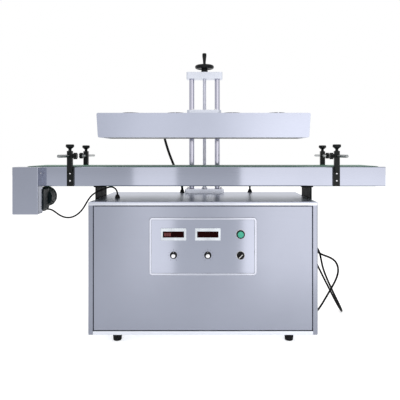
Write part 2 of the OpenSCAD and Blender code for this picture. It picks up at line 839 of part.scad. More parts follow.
// Folded side rail of the conveyor with a boss for each roller shaft; side is -1 in front, 1 behind
module rail(side) {
    web_y = side * (rail_y - rail_t / 2);
    edge_y = side * (rail_y - rail_flange);
    boss_l = rail_flange - rail_t;
    difference() {
        union() {
            translate([rail_left, 0, 0]) rotate([90, 0, 90]) linear_extrude(rail_right - rail_left)
                folded([[edge_y, rail_bottom + rail_t / 2], [web_y, rail_bottom + rail_t / 2],
                    [web_y, rail_top - rail_t / 2], [edge_y, rail_top - rail_t / 2]], rail_t, rail_fold);
            for (x = [drive_x, tail_x])
                translate([x, side * (rail_y - rail_t - boss_l / 2 + cut / 2), roller_z])
                    rotate([90, 0, 0]) cylinder(d = boss_d, h = boss_l + cut, center = true);
        }
        translate([drive_x, 0, roller_z]) shaft_cut(side);
        translate([tail_x, side * (rail_y - rail_t), roller_z]) rotate([90 * side, 0, 0])
            cylinder(r = roller_shaft / 2 + run_gap, h = boss_l + cut);
    }
}

// Bore for the drive roller's shaft through one rail
module shaft_cut(side) {
    translate([0, side * rail_y, 0]) rotate([90, 0, 0])
        cylinder(r = roller_shaft / 2 + run_gap, h = 4 * rail_flange, center = true);
}

module front_rail() {
    color("lightsteelblue") rail(-1);
}

module rear_rail() {
    color("lightsteelblue") rail(1);
}

module conveyor_belt() {
    color("seagreen")
    translate([drive_x, belt_half_w, roller_z]) rotate([90, 0, 0]) linear_extrude(2 * belt_half_w)
        difference() {
            strap(tail_x - drive_x, belt_out_r, belt_out_r);
            strap(tail_x - drive_x, belt_in_r, belt_in_r);
        }
}

module slider_bed() {
    skin_z = belt_top - belt_t - fit_gap - bed_t / 2;
    skirt_y = belt_half_w - 2;
    bar_l = conveyor_w - 2 * rail_t;
    color("lightgray") {
        translate([bed_left, 0, 0]) rotate([90, 0, 90]) linear_extrude(bed_right - bed_left)
            folded([[-skirt_y, skin_z - bed_skirt], [-skirt_y, skin_z], [skirt_y, skin_z],
                [skirt_y, skin_z - bed_skirt]], bed_t, bed_t * 1.5);
        for (i = [0:BAR_COUNT - 1])
            translate([bed_left + (bed_right - bed_left) * (i + 0.5) / BAR_COUNT, 0, bar_z])
                rotate([90, 0, 0]) cylinder(d = bar_d, h = bar_l, center = true);
    }
}

module motor_plate() {
    color("lightsteelblue")
    difference() {
        translate([cover_mid_x, -rail_y, cover_z]) face_front() linear_extrude(motor_plate_t)
            round_rect(cover_w, cover_h, 4);
        for (at = [[drive_x, roller_z, roller_shaft], [gear_x, gear_z, pilot_d]])
            translate([at[0], -rail_y + cut, at[1]]) face_front()
                cylinder(d = at[2] + 4, h = motor_plate_t + 2 * cut);
    }
}

module drive_cover() {
    color("lightsteelblue")
    translate([cover_mid_x, -rail_y - motor_plate_t, cover_z])
        face_front() tray(cover_w, cover_h, cover_d - motor_plate_t, sheet_t, 4);
}

module gear_head() {
    color("#24282b")
    translate([gear_x, 0, gear_z])
    difference() {
        union() {
            translate([0, gear_back, 0]) face_front() linear_extrude(gear_l) round_rect(gear_w, gear_h, 8);
            translate([0, -rail_y + cut, 0]) face_front() cylinder(d = pilot_d, h = motor_plate_t + cut);
        }
        translate([0, -rail_y + shaft_in + 2, 0]) face_front()
            cylinder(r = motor_shaft / 2 + run_gap, h = 2 * shaft_in + motor_plate_t);
    }
}

module drive_motor() {
    bell = 18;
    bell_slope = 7;
    body_l = motor_l - bell;
    core_d = motor_d - 4;
    r = motor_d / 2;
    ring_t = 6;
    rib_count = 20;
    rib = [4, 6, body_l - 8];
    eye_d = 17;
    eye_bore = 9;
    eye_turn = 27;
    box = [28, 34, 23];
    boss_l = 2;
    color("#1f2a2c") {
        translate([motor_x, gear_back, motor_z]) rotate([-90, 0, 0]) {
            cylinder(d = core_d, h = body_l + cut);
            for (i = [0:rib_count - 1]) rotate([0, 0, i * 360 / rib_count])
                translate([0, r - rib[1] / 2, body_l / 2]) cube(rib, center = true);
            cylinder(d = motor_d, h = ring_t);
            translate([0, 0, body_l]) rotate_extrude()
                polygon([[0, 0], [r, 0], [r, bell / 2], [r - bell_slope, bell], [0, bell]]);
            rotate([0, 0, eye_turn]) translate([r + eye_d / 4, 0, 0]) difference() {
                cylinder(d = eye_d, h = ring_t);
                translate([0, 0, -cut]) cylinder(d = eye_bore, h = ring_t + 2 * cut);
            }
        }
        translate(MOTOR_OUTLET - [boss_l + box[0], box[1] / 2, motor_cord_d]) cube(box);
        translate(MOTOR_OUTLET - [boss_l + cut, 0, 0]) rotate([0, 90, 0])
            cylinder(d = 2 * motor_cord_d, h = boss_l + cut);
    }
}

module drive_belt() {
    rise = roller_z - gear_z;
    run = drive_x - gear_x;
    color("#26262a")
    translate([gear_x, drive_belt_y + drive_belt_w / 2, gear_z]) rotate([0, -atan2(rise, run), 0])
        rotate([90, 0, 0]) linear_extrude(drive_belt_w) difference() {
            strap(norm([rise, run]), driven_r + drive_belt_t, drive_r + drive_belt_t);
            strap(norm([rise, run]), driven_r, drive_r);
        }
}

module conveyor_legs() {
    color("#17181a") {
        translate([cabinet_w / 2, 0, 0]) leg();
        mirror([1, 0, 0]) translate([cabinet_w / 2, 0, 0]) leg();
    }
}

// Leg on the cabinet's right side, with a tab under each rail
module leg() {
    front_y = -rail_y + 27;
    back_y = rail_y - 5;
    low_z = cab_top - leg_drop;
    riser_w = 8;
    notch_z = rail_bottom - leg_t - 4;
    tab_y = rail_y - rail_flange;
    tab_x = leg_t - leg_tab;
    half_t = leg_t / 2;
    translate([0, front_y, low_z]) cube([leg_t, back_y - front_y, notch_z - low_z]);
    translate([0, front_y, low_z]) cube([leg_t, riser_w, rail_bottom - half_t - low_z]);
    translate([0, tab_y, low_z]) cube([leg_t, back_y - tab_y, rail_bottom - low_z]);
    translate([tab_x, tab_y, rail_bottom - leg_t]) cube([leg_tab, rail_flange, leg_t]);
    translate([tab_x, -rail_y, rail_bottom - leg_t]) cube([leg_tab, rail_flange, leg_t]);
    translate([tab_x, -rail_y, rail_bottom - leg_t]) cube([leg_tab, front_y + riser_w + rail_y, half_t]);
}

module column_base() {
    color("gainsboro")
    difference() {
        translate([0, cab_back - base_d / 2, cab_top]) linear_extrude(base_t) round_rect(base_w, base_d, 6);
        for (side = [-1, 1]) translate([side * column_pitch / 2, column_y, base_top - column_seat])
            cylinder(r = column_d / 2 + run_gap, h = column_seat + cut);
        translate([0, column_y, base_top - screw_seat])
            cylinder(r = screw_d / 2 + run_gap, h = screw_seat + cut);
    }
}

module columns() {
    color("gainsboro")
    for (side = [-1, 1]) translate([side * column_pitch / 2, column_y, base_top - column_seat])
        cylinder(d = column_d, h = top_z - base_top + 2 * column_seat);
}

module top_plate() {
    color("gainsboro")
    difference() {
        translate([0, column_y, top_z]) linear_extrude(top_t) round_rect(top_w, top_d, 8);
        for (side = [-1, 1]) translate([side * column_pitch / 2, column_y, top_z - cut])
            cylinder(r = column_d / 2 + run_gap, h = column_seat + cut);
        translate([0, column_y, top_z - cut]) cylinder(r = screw_d / 2 + run_gap, h = top_t + 2 * cut);
    }
}

// Places children at a guide post's foot on the rail's face, with +Y outwards and +X to the side knob
module at_guide(i) {
    sx = GUIDES[i][0];
    sy = GUIDES[i][1];
    translate([sx * post_x, sy * rail_y, 0])
        mirror([0, sy < 0 ? 1 : 0, 0]) mirror([sx * sy > 0 ? 0 : 1, 0, 0]) children();
}

module guide_posts() {
    color("#161719") for (i = [0:3]) at_guide(i) guide_post();
}

module guide_post() {
    neck = 5;
    below = 20;
    edge_r = 3;
    lobes = 6;
    difference() {
        union() {
            translate([-bracket_w / 2, 0, rail_bottom]) cube([bracket_w, bracket_t, rail_h]);
            translate([0, guide_post_d / 2, rail_top - below]) linear_extrude(guide_post_h + below)
                round_rect(guide_post_w, guide_post_d, edge_r);
            translate([guide_post_w / 2 - cut, guide_post_d / 2, rod_z]) rotate([0, 90, 0]) {
                cylinder(d = side_knob_d / 2, h = neck + 2 * cut);
                translate([0, 0, neck + cut]) linear_extrude(side_knob_t) star(side_knob_d, lobes);
            }
        }
        translate([0, -cut, rod_z]) rotate([-90, 0, 0])
            cylinder(r = rod_d / 2 + run_gap, h = guide_post_d + 2 * cut);
        translate([0, guide_post_d / 2, rod_z]) cylinder(r = stud_d / 2 + run_gap, h = guide_post_h);
    }
}

// Star outline with round lobes
module star(d, lobes) {
    lobe_r = d / 6;
    circle(d / 2 - lobe_r);
    for (i = [0:lobes - 1]) rotate(i * 360 / lobes) translate([d / 2 - lobe_r, 0]) circle(lobe_r);
}

module guide_rod(i) {
    tip_h = 2;
    tip_d = rod_d - 3;
    straight = rod_in + guide_post_d + rod_out - tip_h;
    color("darkgray") at_guide(i) translate([0, -rod_in, rod_z]) rotate([-90, 0, 0]) {
        cylinder(d = rod_d, h = straight);
        translate([0, 0, straight]) cylinder(d1 = rod_d, d2 = tip_d, h = tip_h);
        translate([0, 0, -spigot_l]) cylinder(d = spigot_d, h = spigot_l + cut);
    }
}

module clamp_knob(i) {
    r = knob_d / 2;
    edge_r = 4;
    edge_t = 2;
    foot_r = 7;
    waist_r = 6;
    neck_h = knob_h - 12;
    stud_z = rod_z + rod_d / 2 + fit_gap;
    color("#161719") at_guide(i) {
        translate([0, guide_post_d / 2, guide_top]) rotate_extrude() {
            polygon([[0, fit_gap], [foot_r, fit_gap], [waist_r, neck_h / 2], [r - edge_t, neck_h],
                [r, neck_h + edge_t], [r, knob_h - edge_r], [r - edge_r, knob_h], [0, knob_h]]);
            translate([r - edge_r, knob_h - edge_r]) circle(edge_r);
        }
        translate([0, guide_post_d / 2, stud_z]) cylinder(d = stud_d, h = guide_top + cut - stud_z);
    }
}

module lead_screw() {
    collar_t = 6;
    collar_w = 5;
    foot_z = base_top - screw_seat + fit_gap;
    color("silver") {
        translate([0, column_y, foot_z]) cylinder(d = screw_d, h = top_z + top_t + wheel_seat - foot_z);
        translate([0, column_y, base_top + fit_gap]) cylinder(d = screw_d + 2 * collar_w, h = collar_t);
    }
}

module handwheel() {
    hub_r = screw_d / 2 + 7;
    rim_r = rim_t / 2;
    r = wheel_d / 2;
    web_x = r - rim_r + 1;
    pad_d = 17;
    color("#18191b")
    translate([0, column_y, top_z + top_t + fit_gap])
    difference() {
        union() {
            rotate_extrude() {
                polygon([[0, 0], [hub_r, 0], [hub_r - 1, hub_h], [web_x, hub_h + 4], [web_x, hub_h + 10],
                    [hub_r, hub_h + 8], [hub_r - 3, hub_h + rim_t], [0, hub_h + rim_t]]);
                translate([r - rim_r, hub_h + rim_r]) circle(rim_r);
            }
            translate([0, -grip_reach, hub_h]) cylinder(d = pad_d, h = rim_t - fit_gap);
        }
        translate([0, 0, -cut]) cylinder(r = screw_d / 2 + run_gap, h = cut + wheel_seat);
        translate([0, -grip_reach, hub_h + pin_floor]) cylinder(d = grip_pin + 2 * run_gap, h = rim_t + cut);
    }
}

module wheel_grip() {
    r = grip_d / 2;
    edge_r = 4;
    pin_low = pin_floor + 2 - rim_t;
    color("#18191b")
    translate([0, column_y - grip_reach, grip_z + fit_gap]) {
        rotate_extrude() {
            polygon([[0, 0], [r * 0.6, 0], [r * 0.72, grip_l * 0.3], [r, grip_l * 0.7],
                [r, grip_l - edge_r], [r - edge_r, grip_l], [0, grip_l]]);
            translate([r - edge_r, grip_l - edge_r]) circle(edge_r);
        }
        translate([0, 0, pin_low]) cylinder(d = grip_pin, h = cut - pin_low);
    }
}

// Front outline of the head, drawn in by inset, with corners of short flats
module head_outline(inset) {
    top_x = head_w / 2 - head_r;
    low_x = top_x - head_taper;
    lean = atan2(head_taper, head_h - 2 * head_r);
    r = head_r - inset;
    low = [low_x, head_r];
    high = [top_x, head_h - head_r];
    steps = [0:1 / CORNER_STEPS:1];
    corner = [
        for (k = steps) low + r * turned(-90 + (90 - lean) * k),
        for (k = steps) high + r * turned(-lean + (90 + lean) * k),
    ];
    last = len(corner) - 1;
    polygon(concat(corner, [for (i = [last:-1:0]) [-corner[i][0], corner[i][1]]]));
}

function sole_w() = head_w - 2 * (head_taper + head_r + sole_lip);
function sole_d() = head_d - 2 * (head_t + sole_lip);

module head_housing() {
    color("lightsteelblue")
    difference() {
        union() {
            difference() {
                translate([0, head_back, head_z]) face_front() linear_extrude(head_d) head_outline(0);
                translate([0, head_back - head_t, head_z]) face_front()
                    linear_extrude(head_d - 2 * head_t) head_outline(head_t);
            }
            translate(HEAD_OUTLET - [0, outlet_l + head_t / 2, 0]) rotate([-90, 0, 0])
                cylinder(d = outlet_d, h = outlet_l + head_t / 2);
        }
        translate([0, head_mid_y, head_z]) cube([sole_w(), sole_d(), 4 * head_t], center = true);
        for (x = FAN_X) translate([x, head_mid_y, head_top])
            cylinder(d = fan_bore, h = 4 * head_t, center = true);
    }
}

module sole_plate() {
    rest = sole_lip / 2;
    color("dimgray")
    translate([0, head_mid_y, 0]) {
        translate([-sole_w() / 2 + fit_gap, -sole_d() / 2 + fit_gap, head_z])
            cube([sole_w() - 2 * fit_gap, sole_d() - 2 * fit_gap, head_t + cut]);
        translate([-sole_w() / 2 - rest, -sole_d() / 2 - rest, head_z + head_t])
            cube([sole_w() + 2 * rest, sole_d() + 2 * rest, sole_t]);
    }
}

module coil_pack() {
    bar = [24, coil_w, 12];
    bar_pitch = 60;
    turn_w = 26;
    color("peru")
    translate([0, head_mid_y, sole_top]) {
        linear_extrude(coil_h) difference() {
            coil_loop(coil_w / 2);
            coil_loop(coil_w / 2 - turn_w);
        }
        for (x = [-coil_l / 2 + coil_w / 2:bar_pitch:coil_l / 2 - coil_w / 2])
            translate([x, 0, coil_h + bar[2] / 2 - cut / 2]) cube(bar + [0, 0, cut], center = true);
    }
}

module coil_loop(r) {
    x = coil_l / 2 - coil_w / 2;
    rounded([[-x, 0], [x, 0]], r);
}

module carriage() {
    chamfer = 12;
    plate_w2 = carriage_w / 2;
    web_t = 8;
    color("gainsboro")
    difference() {
        union() {
            translate([0, 0, head_top]) linear_extrude(carriage_t)
                polygon([[-plate_w2, carriage_back], [-plate_w2, carriage_front + chamfer],
                    [-plate_w2 + chamfer, carriage_front], [plate_w2 - chamfer, carriage_front],
                    [plate_w2, carriage_front + chamfer], [plate_w2, carriage_back]]);
            for (side = [-1, 1]) translate([side * column_pitch / 2, column_y, head_top - sleeve_l])
                cylinder(r = sleeve_r, h = sleeve_l + cut);
            translate([-plate_w2 + chamfer, head_back, head_top - sleeve_l])
                cube([carriage_w - 2 * chamfer, web_t, sleeve_l + cut]);
        }
        for (side = [-1, 1]) translate([side * column_pitch / 2, column_y, head_top - sleeve_l - cut])
            cylinder(r = bush_r + run_gap, h = sleeve_l + carriage_t + 2 * cut);
        translate([0, column_y, head_top - cut]) cylinder(r = nut_r + run_gap, h = carriage_t + 2 * cut);
    }
}

module carriage_bushings() {
    flange = 6;
    color("darkgoldenrod") {
        for (side = [-1, 1]) translate([side * column_pitch / 2, column_y, head_top - sleeve_l])
            bush(bush_r, column_d / 2 + run_gap, sleeve_l + carriage_t);
        translate([0, column_y, head_top - flange]) {
            bush(nut_r, screw_d / 2 + run_gap, carriage_t + flange);
            bush(nut_r + flange, screw_d / 2 + run_gap, flange);
        }
    }
}

module bush(outer_r, inner_r, h) {
    difference() {
        cylinder(r = outer_r, h = h);
        translate([0, 0, -cut]) cylinder(r = inner_r, h = h + 2 * cut);
    }
}

module fan_frames() {
    color("#1d1e20") for (x = FAN_X) translate([x, head_mid_y, fan_z]) fan_frame();
}

module fan_frame() {
    strut_h = 4;
    strut_w = 6;
    strut_in = fan_boss / 2 - 3;
    difference() {
        union() {
            difference() {
                linear_extrude(fan_t) round_rect(fan_w, fan_w, 5);
                translate([0, 0, -cut]) cylinder(d = fan_bore, h = fan_t + 2 * cut);
            }
            for (i = [0:3]) rotate([0, 0, 45 + 90 * i]) translate([strut_in, -strut_w / 2, 0])
                cube([fan_bore / 2 + 2 - strut_in, strut_w, strut_h]);
            cylinder(d = fan_boss, h = strut_h + cut);
            cylinder(d = fan_shaft + 8, h = strut_h + 6);
        }
        translate([0, 0, 1.5]) cylinder(r = fan_shaft / 2 + run_gap, h = fan_t);
    }
}

module fan_rotor(i) {
    blade_r = fan_bore / 2 - 2;
    cup_z = 12;
    blade_z = 7;
    blade_h = fan_t - blade_z - 3;
    root = fan_hub / 2 - 3;
    color("#2b2c2f")
    translate([FAN_X[i], head_mid_y, fan_z]) {
        translate([0, 0, cup_z]) cylinder(d = fan_hub, h = fan_t - cup_z - 2);
        translate([0, 0, 2]) cylinder(d = fan_shaft, h = cup_z - 1);
        for (k = [0:fan_blades - 1]) rotate([0, 0, k * 360 / fan_blades]) intersection() {
            translate([0, 0, blade_z]) cylinder(r = blade_r, h = blade_h);
            translate([root, -15, blade_z + blade_h / 2]) rotate([38, 0, 0]) cube([blade_r, 30, 1.8]);
        }
    }
}

module fan_guards() {
    color("gainsboro") for (x = FAN_X) translate([x, head_mid_y, head_top]) fan_guard();
}

// Domed wire guard that rests on the head's top, of rings on four flat spokes
module fan_guard() {
    wire_r = wire_d / 2;
    outer_r = guard_d / 2 - wire_r;
    step = outer_r / guard_rings;
    spoke_h = wire_d * 0.8;
    for (k = [1:guard_rings]) rotate_extrude()
        translate([k * step, k == guard_rings ? wire_r : guard_h - wire_r]) circle(wire_r, $fn = 8);
    for (i = [0:3]) rotate([0, 0, 90 * i]) {
        translate([0, -wire_r, guard_h - wire_r - spoke_h]) cube([outer_r + wire_r / 2, wire_d, spoke_h]);
        translate([outer_r - wire_r / 2, -wire_r, 0]) cube([wire_r, wire_d, guard_h - wire_r - spoke_h / 2]);
    }
}

module start_button() {
    stem_l = switch_depth / 2;
    color("limegreen")
    translate([right_column, plate_front - collar_floor - button_travel - fit_gap, upper_z]) {
        face_front() rotate_extrude() {
            h = button_rise + collar_h - collar_floor - button_travel;
            r = button_d / 2;
            polygon([[0, 0], [r, 0], [r, h - 3], [r - 3, h], [0, h]]);
        }
        translate([0, stem_l, 0]) face_front() cylinder(d = button_stem, h = stem_l + cut);
    }
}

module selector_knob() {
    base_r = selector_d / 2 - 2;
    base_t = 4;
    grip_h = 15;
    grip_w = 7;
    shaft_l = 20;
    rest_angle = -45;
    color("#1b1c1e")
    translate([right_column, plate_front - collar_h - fit_gap, lower_z]) {
        face_front() cylinder(r = base_r, h = base_t);
        face_front() rotate([0, 0, rest_angle]) linear_extrude(grip_h)
            round_rect(grip_w, selector_grip, grip_w * 0.43);
        translate([0, shaft_l, 0]) face_front() cylinder(d = selector_shaft, h = shaft_l + cut);
    }
}

module dial(x) {
    r = dial_d / 2;
    skirt_t = 2.5;
    skirt_h = 4;
    edge = 1.5;
    lift = 1;
    shaft_l = sheet_t + plate_t + 7;
    color("#1b1c1e")
    translate([x, plate_front - lift, lower_z]) {
        difference() {
            face_front() rotate_extrude()
                polygon([[0, 0], [r, 0], [r, skirt_t], [r * 0.78, skirt_h], [r * 0.7, dial_h - edge],
                    [r * 0.62, dial_h], [0, dial_h]]);
            translate([0, cut, 0]) face_front() cylinder(d = dial_bush + 4 * fit_gap, h = skirt_h + cut);
        }
        translate([0, shaft_l, 0]) face_front() cylinder(d = dial_shaft, h = shaft_l + skirt_h + lift);
    }
}

// Roller that turns on stub shafts in the rails; front and back are the shafts' ends
module roller(x, front, back) {
    translate([x, 0, roller_z]) rotate([-90, 0, 0]) {
        translate([0, 0, -roller_half_w]) cylinder(d = roller_d, h = 2 * roller_half_w);
        translate([0, 0, front]) cylinder(d = roller_shaft, h = back - front);
    }
}

// Flanged pulley for the drive belt, about the Y axis
module pulley(d) {
    rotate([90, 0, 0]) {
        cylinder(d = d, h = pulley_w + 2 * flange_t, center = true);
        for (side = [-1, 1]) translate([0, 0, side * (pulley_w + flange_t) / 2])
            cylinder(r = d / 2 + flange_rise, h = flange_t, center = true);
    }
}

module drive_roller() {
    color("darkgray") {
        roller(drive_x, drive_belt_y - pulley_w, rail_y - rail_t / 2);
        translate([drive_x, drive_belt_y, roller_z]) pulley(roller_pulley);
    }
}

module tail_roller() {
    stub = rail_y - rail_t - fit_gap;
    color("darkgray") roller(tail_x, -stub, stub);
}

module motor_pulley() {
    color("darkgray")
    translate([gear_x, 0, gear_z]) {
        translate([0, drive_belt_y, 0]) pulley(motor_pulley_d);
        translate([0, -rail_y + shaft_in, 0]) face_front()
            cylinder(d = motor_shaft, h = shaft_in + motor_plate_t + belt_ahead + pulley_w);
    }
}

module motor_cord() {
    color("#151516") cord(MOTOR_ROUTE, motor_cord_d, 2);
}

module sensor_cord() {
    color("#151516") cord(SENSOR_ROUTE, sensor_cord_d, 2);
}

module head_cord() {
    color("#151516") cord(HEAD_ROUTE, head_cord_d, 2);
}

module mains_cord() {
    color("#151516") {
        cord(MAINS_ROUTE, mains_cord_d, 2);
        cord(TAIL_ROUTE, mains_cord_d, 2);
    }
}

module mains_coil() {
    color("#151516")
    translate([COIL_AT[0], COIL_AT[1], floor_gap]) rotate_extrude()
        translate([coil_inner, 0]) square([coil_outer - coil_inner, coil_rise]);
}

module mains_plug() {
    pin = [18, 6.3, 1.6];
    edge_r = 6;
    color("#151516")
    translate([PLUG_AT[0], PLUG_AT[1], floor_gap]) {
        translate([0, 0, PLUG_BODY[2] / 2]) rotate([90, 0, 90]) linear_extrude(PLUG_BODY[0], center = true)
            round_rect(PLUG_BODY[1], PLUG_BODY[2], edge_r);
        for (p = [[-6, 6], [6, 6], [0, 14]])
            translate([-PLUG_BODY[0] / 2 - pin[0], p[0] - pin[1] / 2, p[1]]) cube(pin + [cut, 0, 0]);
    }
}

floor_pan();
cabinet_shell();
top_cover();
front_panel();
rubber_feet();
control_plate();
panel_meters();
meter_windows();
control_sockets();
cable_glands();
power_module();
front_rail();
rear_rail();
conveyor_belt();
slider_bed();
motor_plate();
drive_cover();
gear_head();
drive_motor();
drive_belt();
conveyor_legs();
column_base();
columns();
top_plate();
guide_posts();
motor_cord();
sensor_cord();
mains_cord();
mains_coil();
mains_plug();
head_cord();
lead_screw();
handwheel();
wheel_grip();
head_housing();
sole_plate();
coil_pack();
carriage();
carriage_bushings();
fan_frames();
fan_guards();
fan_rotor(0);  // fan_rotor_1
fan_rotor(1);  // fan_rotor_2
fan_rotor(2);  // fan_rotor_3
fan_rotor(3);  // fan_rotor_4
start_button();
selector_knob();
dial(DIAL_X[0]);  // left_dial
dial(DIAL_X[1]);  // right_dial
drive_roller();
tail_roller();
motor_pulley();
guide_rod(0);  // guide_rod_1
guide_rod(1);  // guide_rod_2
guide_rod(2);  // guide_rod_3
guide_rod(3);  // guide_rod_4
clamp_knob(0);  // clamp_knob_1
clamp_knob(1);  // clamp_knob_2
clamp_knob(2);  // clamp_knob_3
clamp_knob(3);  // clamp_knob_4
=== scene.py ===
"""Looks of the induction cap sealer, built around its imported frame."""

import math

import bmesh
import bpy
from mathutils import Matrix, Vector


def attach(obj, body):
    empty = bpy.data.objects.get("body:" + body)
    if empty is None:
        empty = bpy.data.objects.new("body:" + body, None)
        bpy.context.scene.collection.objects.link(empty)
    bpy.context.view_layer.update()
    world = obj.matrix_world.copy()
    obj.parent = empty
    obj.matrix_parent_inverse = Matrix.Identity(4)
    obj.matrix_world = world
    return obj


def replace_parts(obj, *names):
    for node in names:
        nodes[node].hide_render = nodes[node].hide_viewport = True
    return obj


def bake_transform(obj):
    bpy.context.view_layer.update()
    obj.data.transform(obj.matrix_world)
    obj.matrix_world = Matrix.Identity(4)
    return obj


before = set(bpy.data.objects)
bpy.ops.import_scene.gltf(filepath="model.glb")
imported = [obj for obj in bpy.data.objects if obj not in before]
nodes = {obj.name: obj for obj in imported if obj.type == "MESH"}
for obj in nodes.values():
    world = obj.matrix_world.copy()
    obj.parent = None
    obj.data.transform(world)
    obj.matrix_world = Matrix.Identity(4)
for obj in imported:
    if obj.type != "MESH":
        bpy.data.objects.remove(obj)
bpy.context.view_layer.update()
scene = bpy.context.scene

MM = 0.001
SHARP = math.radians(32)                                  # folds steeper than this keep their edge
FRONT = Matrix.Rotation(math.radians(90), 4, "X")         # turns +Z to the front, -Y
BACK = Matrix.Rotation(math.radians(-90), 4, "X")         # turns +Z to the back, +Y
LEFTWARD = Matrix.Rotation(math.radians(-90), 4, "Y")     # turns +Z to the left, -X
RIGHTWARD = Matrix.Rotation(math.radians(90), 4, "Y")     # turns +Z to the right, +X

# Camera: level, with its lens shifted down, as in the photograph
CAMERA_AT = (0.0314, -2.082, 0.7514)
FOCAL_PX, PICTURE_PX, SENSOR_MM = 474.5, 400, 36
LENS_SHIFT = (-0.0275, -0.1175)
VIEW_END = 60


def place_camera():
    data = bpy.data.cameras.new("camera")
    data.sensor_width = SENSOR_MM
    data.lens = SENSOR_MM * FOCAL_PX / PICTURE_PX
    data.shift_x, data.shift_y = LENS_SHIFT
    data.clip_end = VIEW_END
    camera = bpy.data.objects.new("camera", data)
    camera.location = CAMERA_AT
    camera.rotation_euler = (math.radians(90), 0, 0)
    scene.collection.objects.link(camera)
    scene.camera = camera


# Materials
NOISE_LOW, NOISE_HIGH = 0.3, 0.7                # the part of a noise's range that is spread out
NOISE_ROUGH = 0.55
BRUSH_ALONG, BRUSH_ACROSS = 6, 900              # noise per metre along and across the brushed lines
BRUSH_BUMP, BRUSH_DEPTH = 0.01, 0.00003
WIPE_SCALE = 3.2                                # wipe marks on sheet metal, about 0.3 m wide
# Below LIP_Z the top cover's lip gets a painted highlight, a brighter base colour than the sheet.
LIP_Z = (0.554, 0.559)                          # where the top cover's turned-down lip begins
COVER_ROUGH, COVER_EDGE = (0.29, 0.33), 0.002


class Nodes:
    """A material's node tree, with short calls for its nodes."""

    def __init__(self, name):
        self.material = bpy.data.materials.new(name)
        self.material.use_nodes = True
        self.tree = self.material.node_tree
        self.shader = self.tree.nodes["Principled BSDF"]
        self.place = self.add("ShaderNodeTexCoord").outputs["Object"]

    def add(self, kind, **values):
        node = self.tree.nodes.new(kind)
        for key, value in values.items():
            setattr(node, key, value)
        return node

    def link(self, out, socket):
        self.tree.links.new(out, socket)

    def noise(self, scale, stretch=(1, 1, 1), detail=3.0):
        mapping = self.add("ShaderNodeMapping")
        mapping.inputs["Scale"].default_value = stretch
        self.link(self.place, mapping.inputs["Vector"])
        noise = self.add("ShaderNodeTexNoise")
        noise.inputs["Scale"].default_value = scale
        noise.inputs["Detail"].default_value = detail
        noise.inputs["Roughness"].default_value = NOISE_ROUGH
        self.link(mapping.outputs["Vector"], noise.inputs["Vector"])
        return noise.outputs["Fac"]

    def spread(self, fac, low, high, start=NOISE_LOW, end=NOISE_HIGH):
        node = self.add("ShaderNodeMapRange")
        node.inputs["From Min"].default_value = start
        node.inputs["From Max"].default_value = end
        node.inputs["To Min"].default_value = low
        node.inputs["To Max"].default_value = high
        self.link(fac, node.inputs["Value"])
        return node.outputs["Result"]

    def between(self, fac, a, b):
        ramp = self.add("ShaderNodeValToRGB")
        ramp.color_ramp.elements[0].position = NOISE_LOW
        ramp.color_ramp.elements[1].position = NOISE_HIGH
        ramp.color_ramp.elements[0].color = (*a, 1)
        ramp.color_ramp.elements[1].color = (*b, 1)
        self.link(fac, ramp.inputs["Fac"])
        return ramp.outputs["Color"]

    def bump(self, fac, strength, distance, edge=0.0):
        node = self.add("ShaderNodeBump")
        node.inputs["Strength"].default_value = strength
        node.inputs["Distance"].default_value = distance
        self.link(fac, node.inputs["Height"])
        if edge:
            bevel = self.add("ShaderNodeBevel", samples=4)
            bevel.inputs["Radius"].default_value = edge
            self.link(bevel.outputs["Normal"], node.inputs["Normal"])
        self.link(node.outputs["Normal"], self.shader.inputs["Normal"])

    def set(self, **values):
        for key, value in values.items():
            self.shader.inputs[key.replace("_", " ")].default_value = value


def shade(colour, k):
    return tuple(min(1.0, c * k) for c in colour)


def brushed_steel(name, colour, rough, along, edge=0.0006):
    """Satin sheet with fine lines along one axis, faint wipe marks and softened edges."""
    n = Nodes(name)
    stretch = [BRUSH_ACROSS] * 3
    stretch["XYZ".index(along)] = BRUSH_ALONG
    lines = n.noise(1.0, stretch, detail=2.0)
    smears = n.noise(WIPE_SCALE, detail=4.0)
    n.link(n.between(smears, shade(colour, 0.965), shade(colour, 1.03)), n.shader.inputs["Base Color"])
    n.link(n.spread(lines, rough - 0.015, rough + 0.02), n.shader.inputs["Roughness"])
    n.set(Metallic=1.0)
    n.bump(lines, BRUSH_BUMP, BRUSH_DEPTH, edge)
    return n.material


def lipped_steel(name, colour, lip_highlight):
    """Satin cover sheet whose turned-down lip has a painted highlight, a brighter base colour."""
    n = Nodes(name)
    split = n.add("ShaderNodeSeparateXYZ")
    n.link(n.place, split.inputs["Vector"])
    up = n.spread(split.outputs["Z"], 0.0, 1.0, *LIP_Z)
    # Below LIP_Z the base colour turns to the lip colour, a painted highlight on the fold.
    n.link(n.between(up, lip_highlight, colour), n.shader.inputs["Base Color"])
    smears = n.noise(WIPE_SCALE, detail=4.0)
    n.link(n.spread(smears, *COVER_ROUGH), n.shader.inputs["Roughness"])
    n.set(Metallic=1.0)
    lines = n.noise(1.0, (BRUSH_ALONG, BRUSH_ACROSS, BRUSH_ACROSS), detail=2.0)
    n.bump(lines, BRUSH_BUMP, BRUSH_DEPTH, COVER_EDGE)
    return n.material


def machined(name, colour, rough, edge=0.0006):
    """Milled or turned light metal with a fine tool grain."""
    n = Nodes(name)
    grain = n.noise(420, (1, 1, 0.25), detail=2.0)
    patches = n.noise(9, detail=3.0)
    n.link(n.between(patches, shade(colour, 0.95), shade(colour, 1.04)), n.shader.inputs["Base Color"])
    n.link(n.spread(grain, rough - 0.05, rough + 0.08), n.shader.inputs["Roughness"])
    n.set(Metallic=1.0)
    n.bump(grain, 0.06, 0.0002, edge)
    return n.material


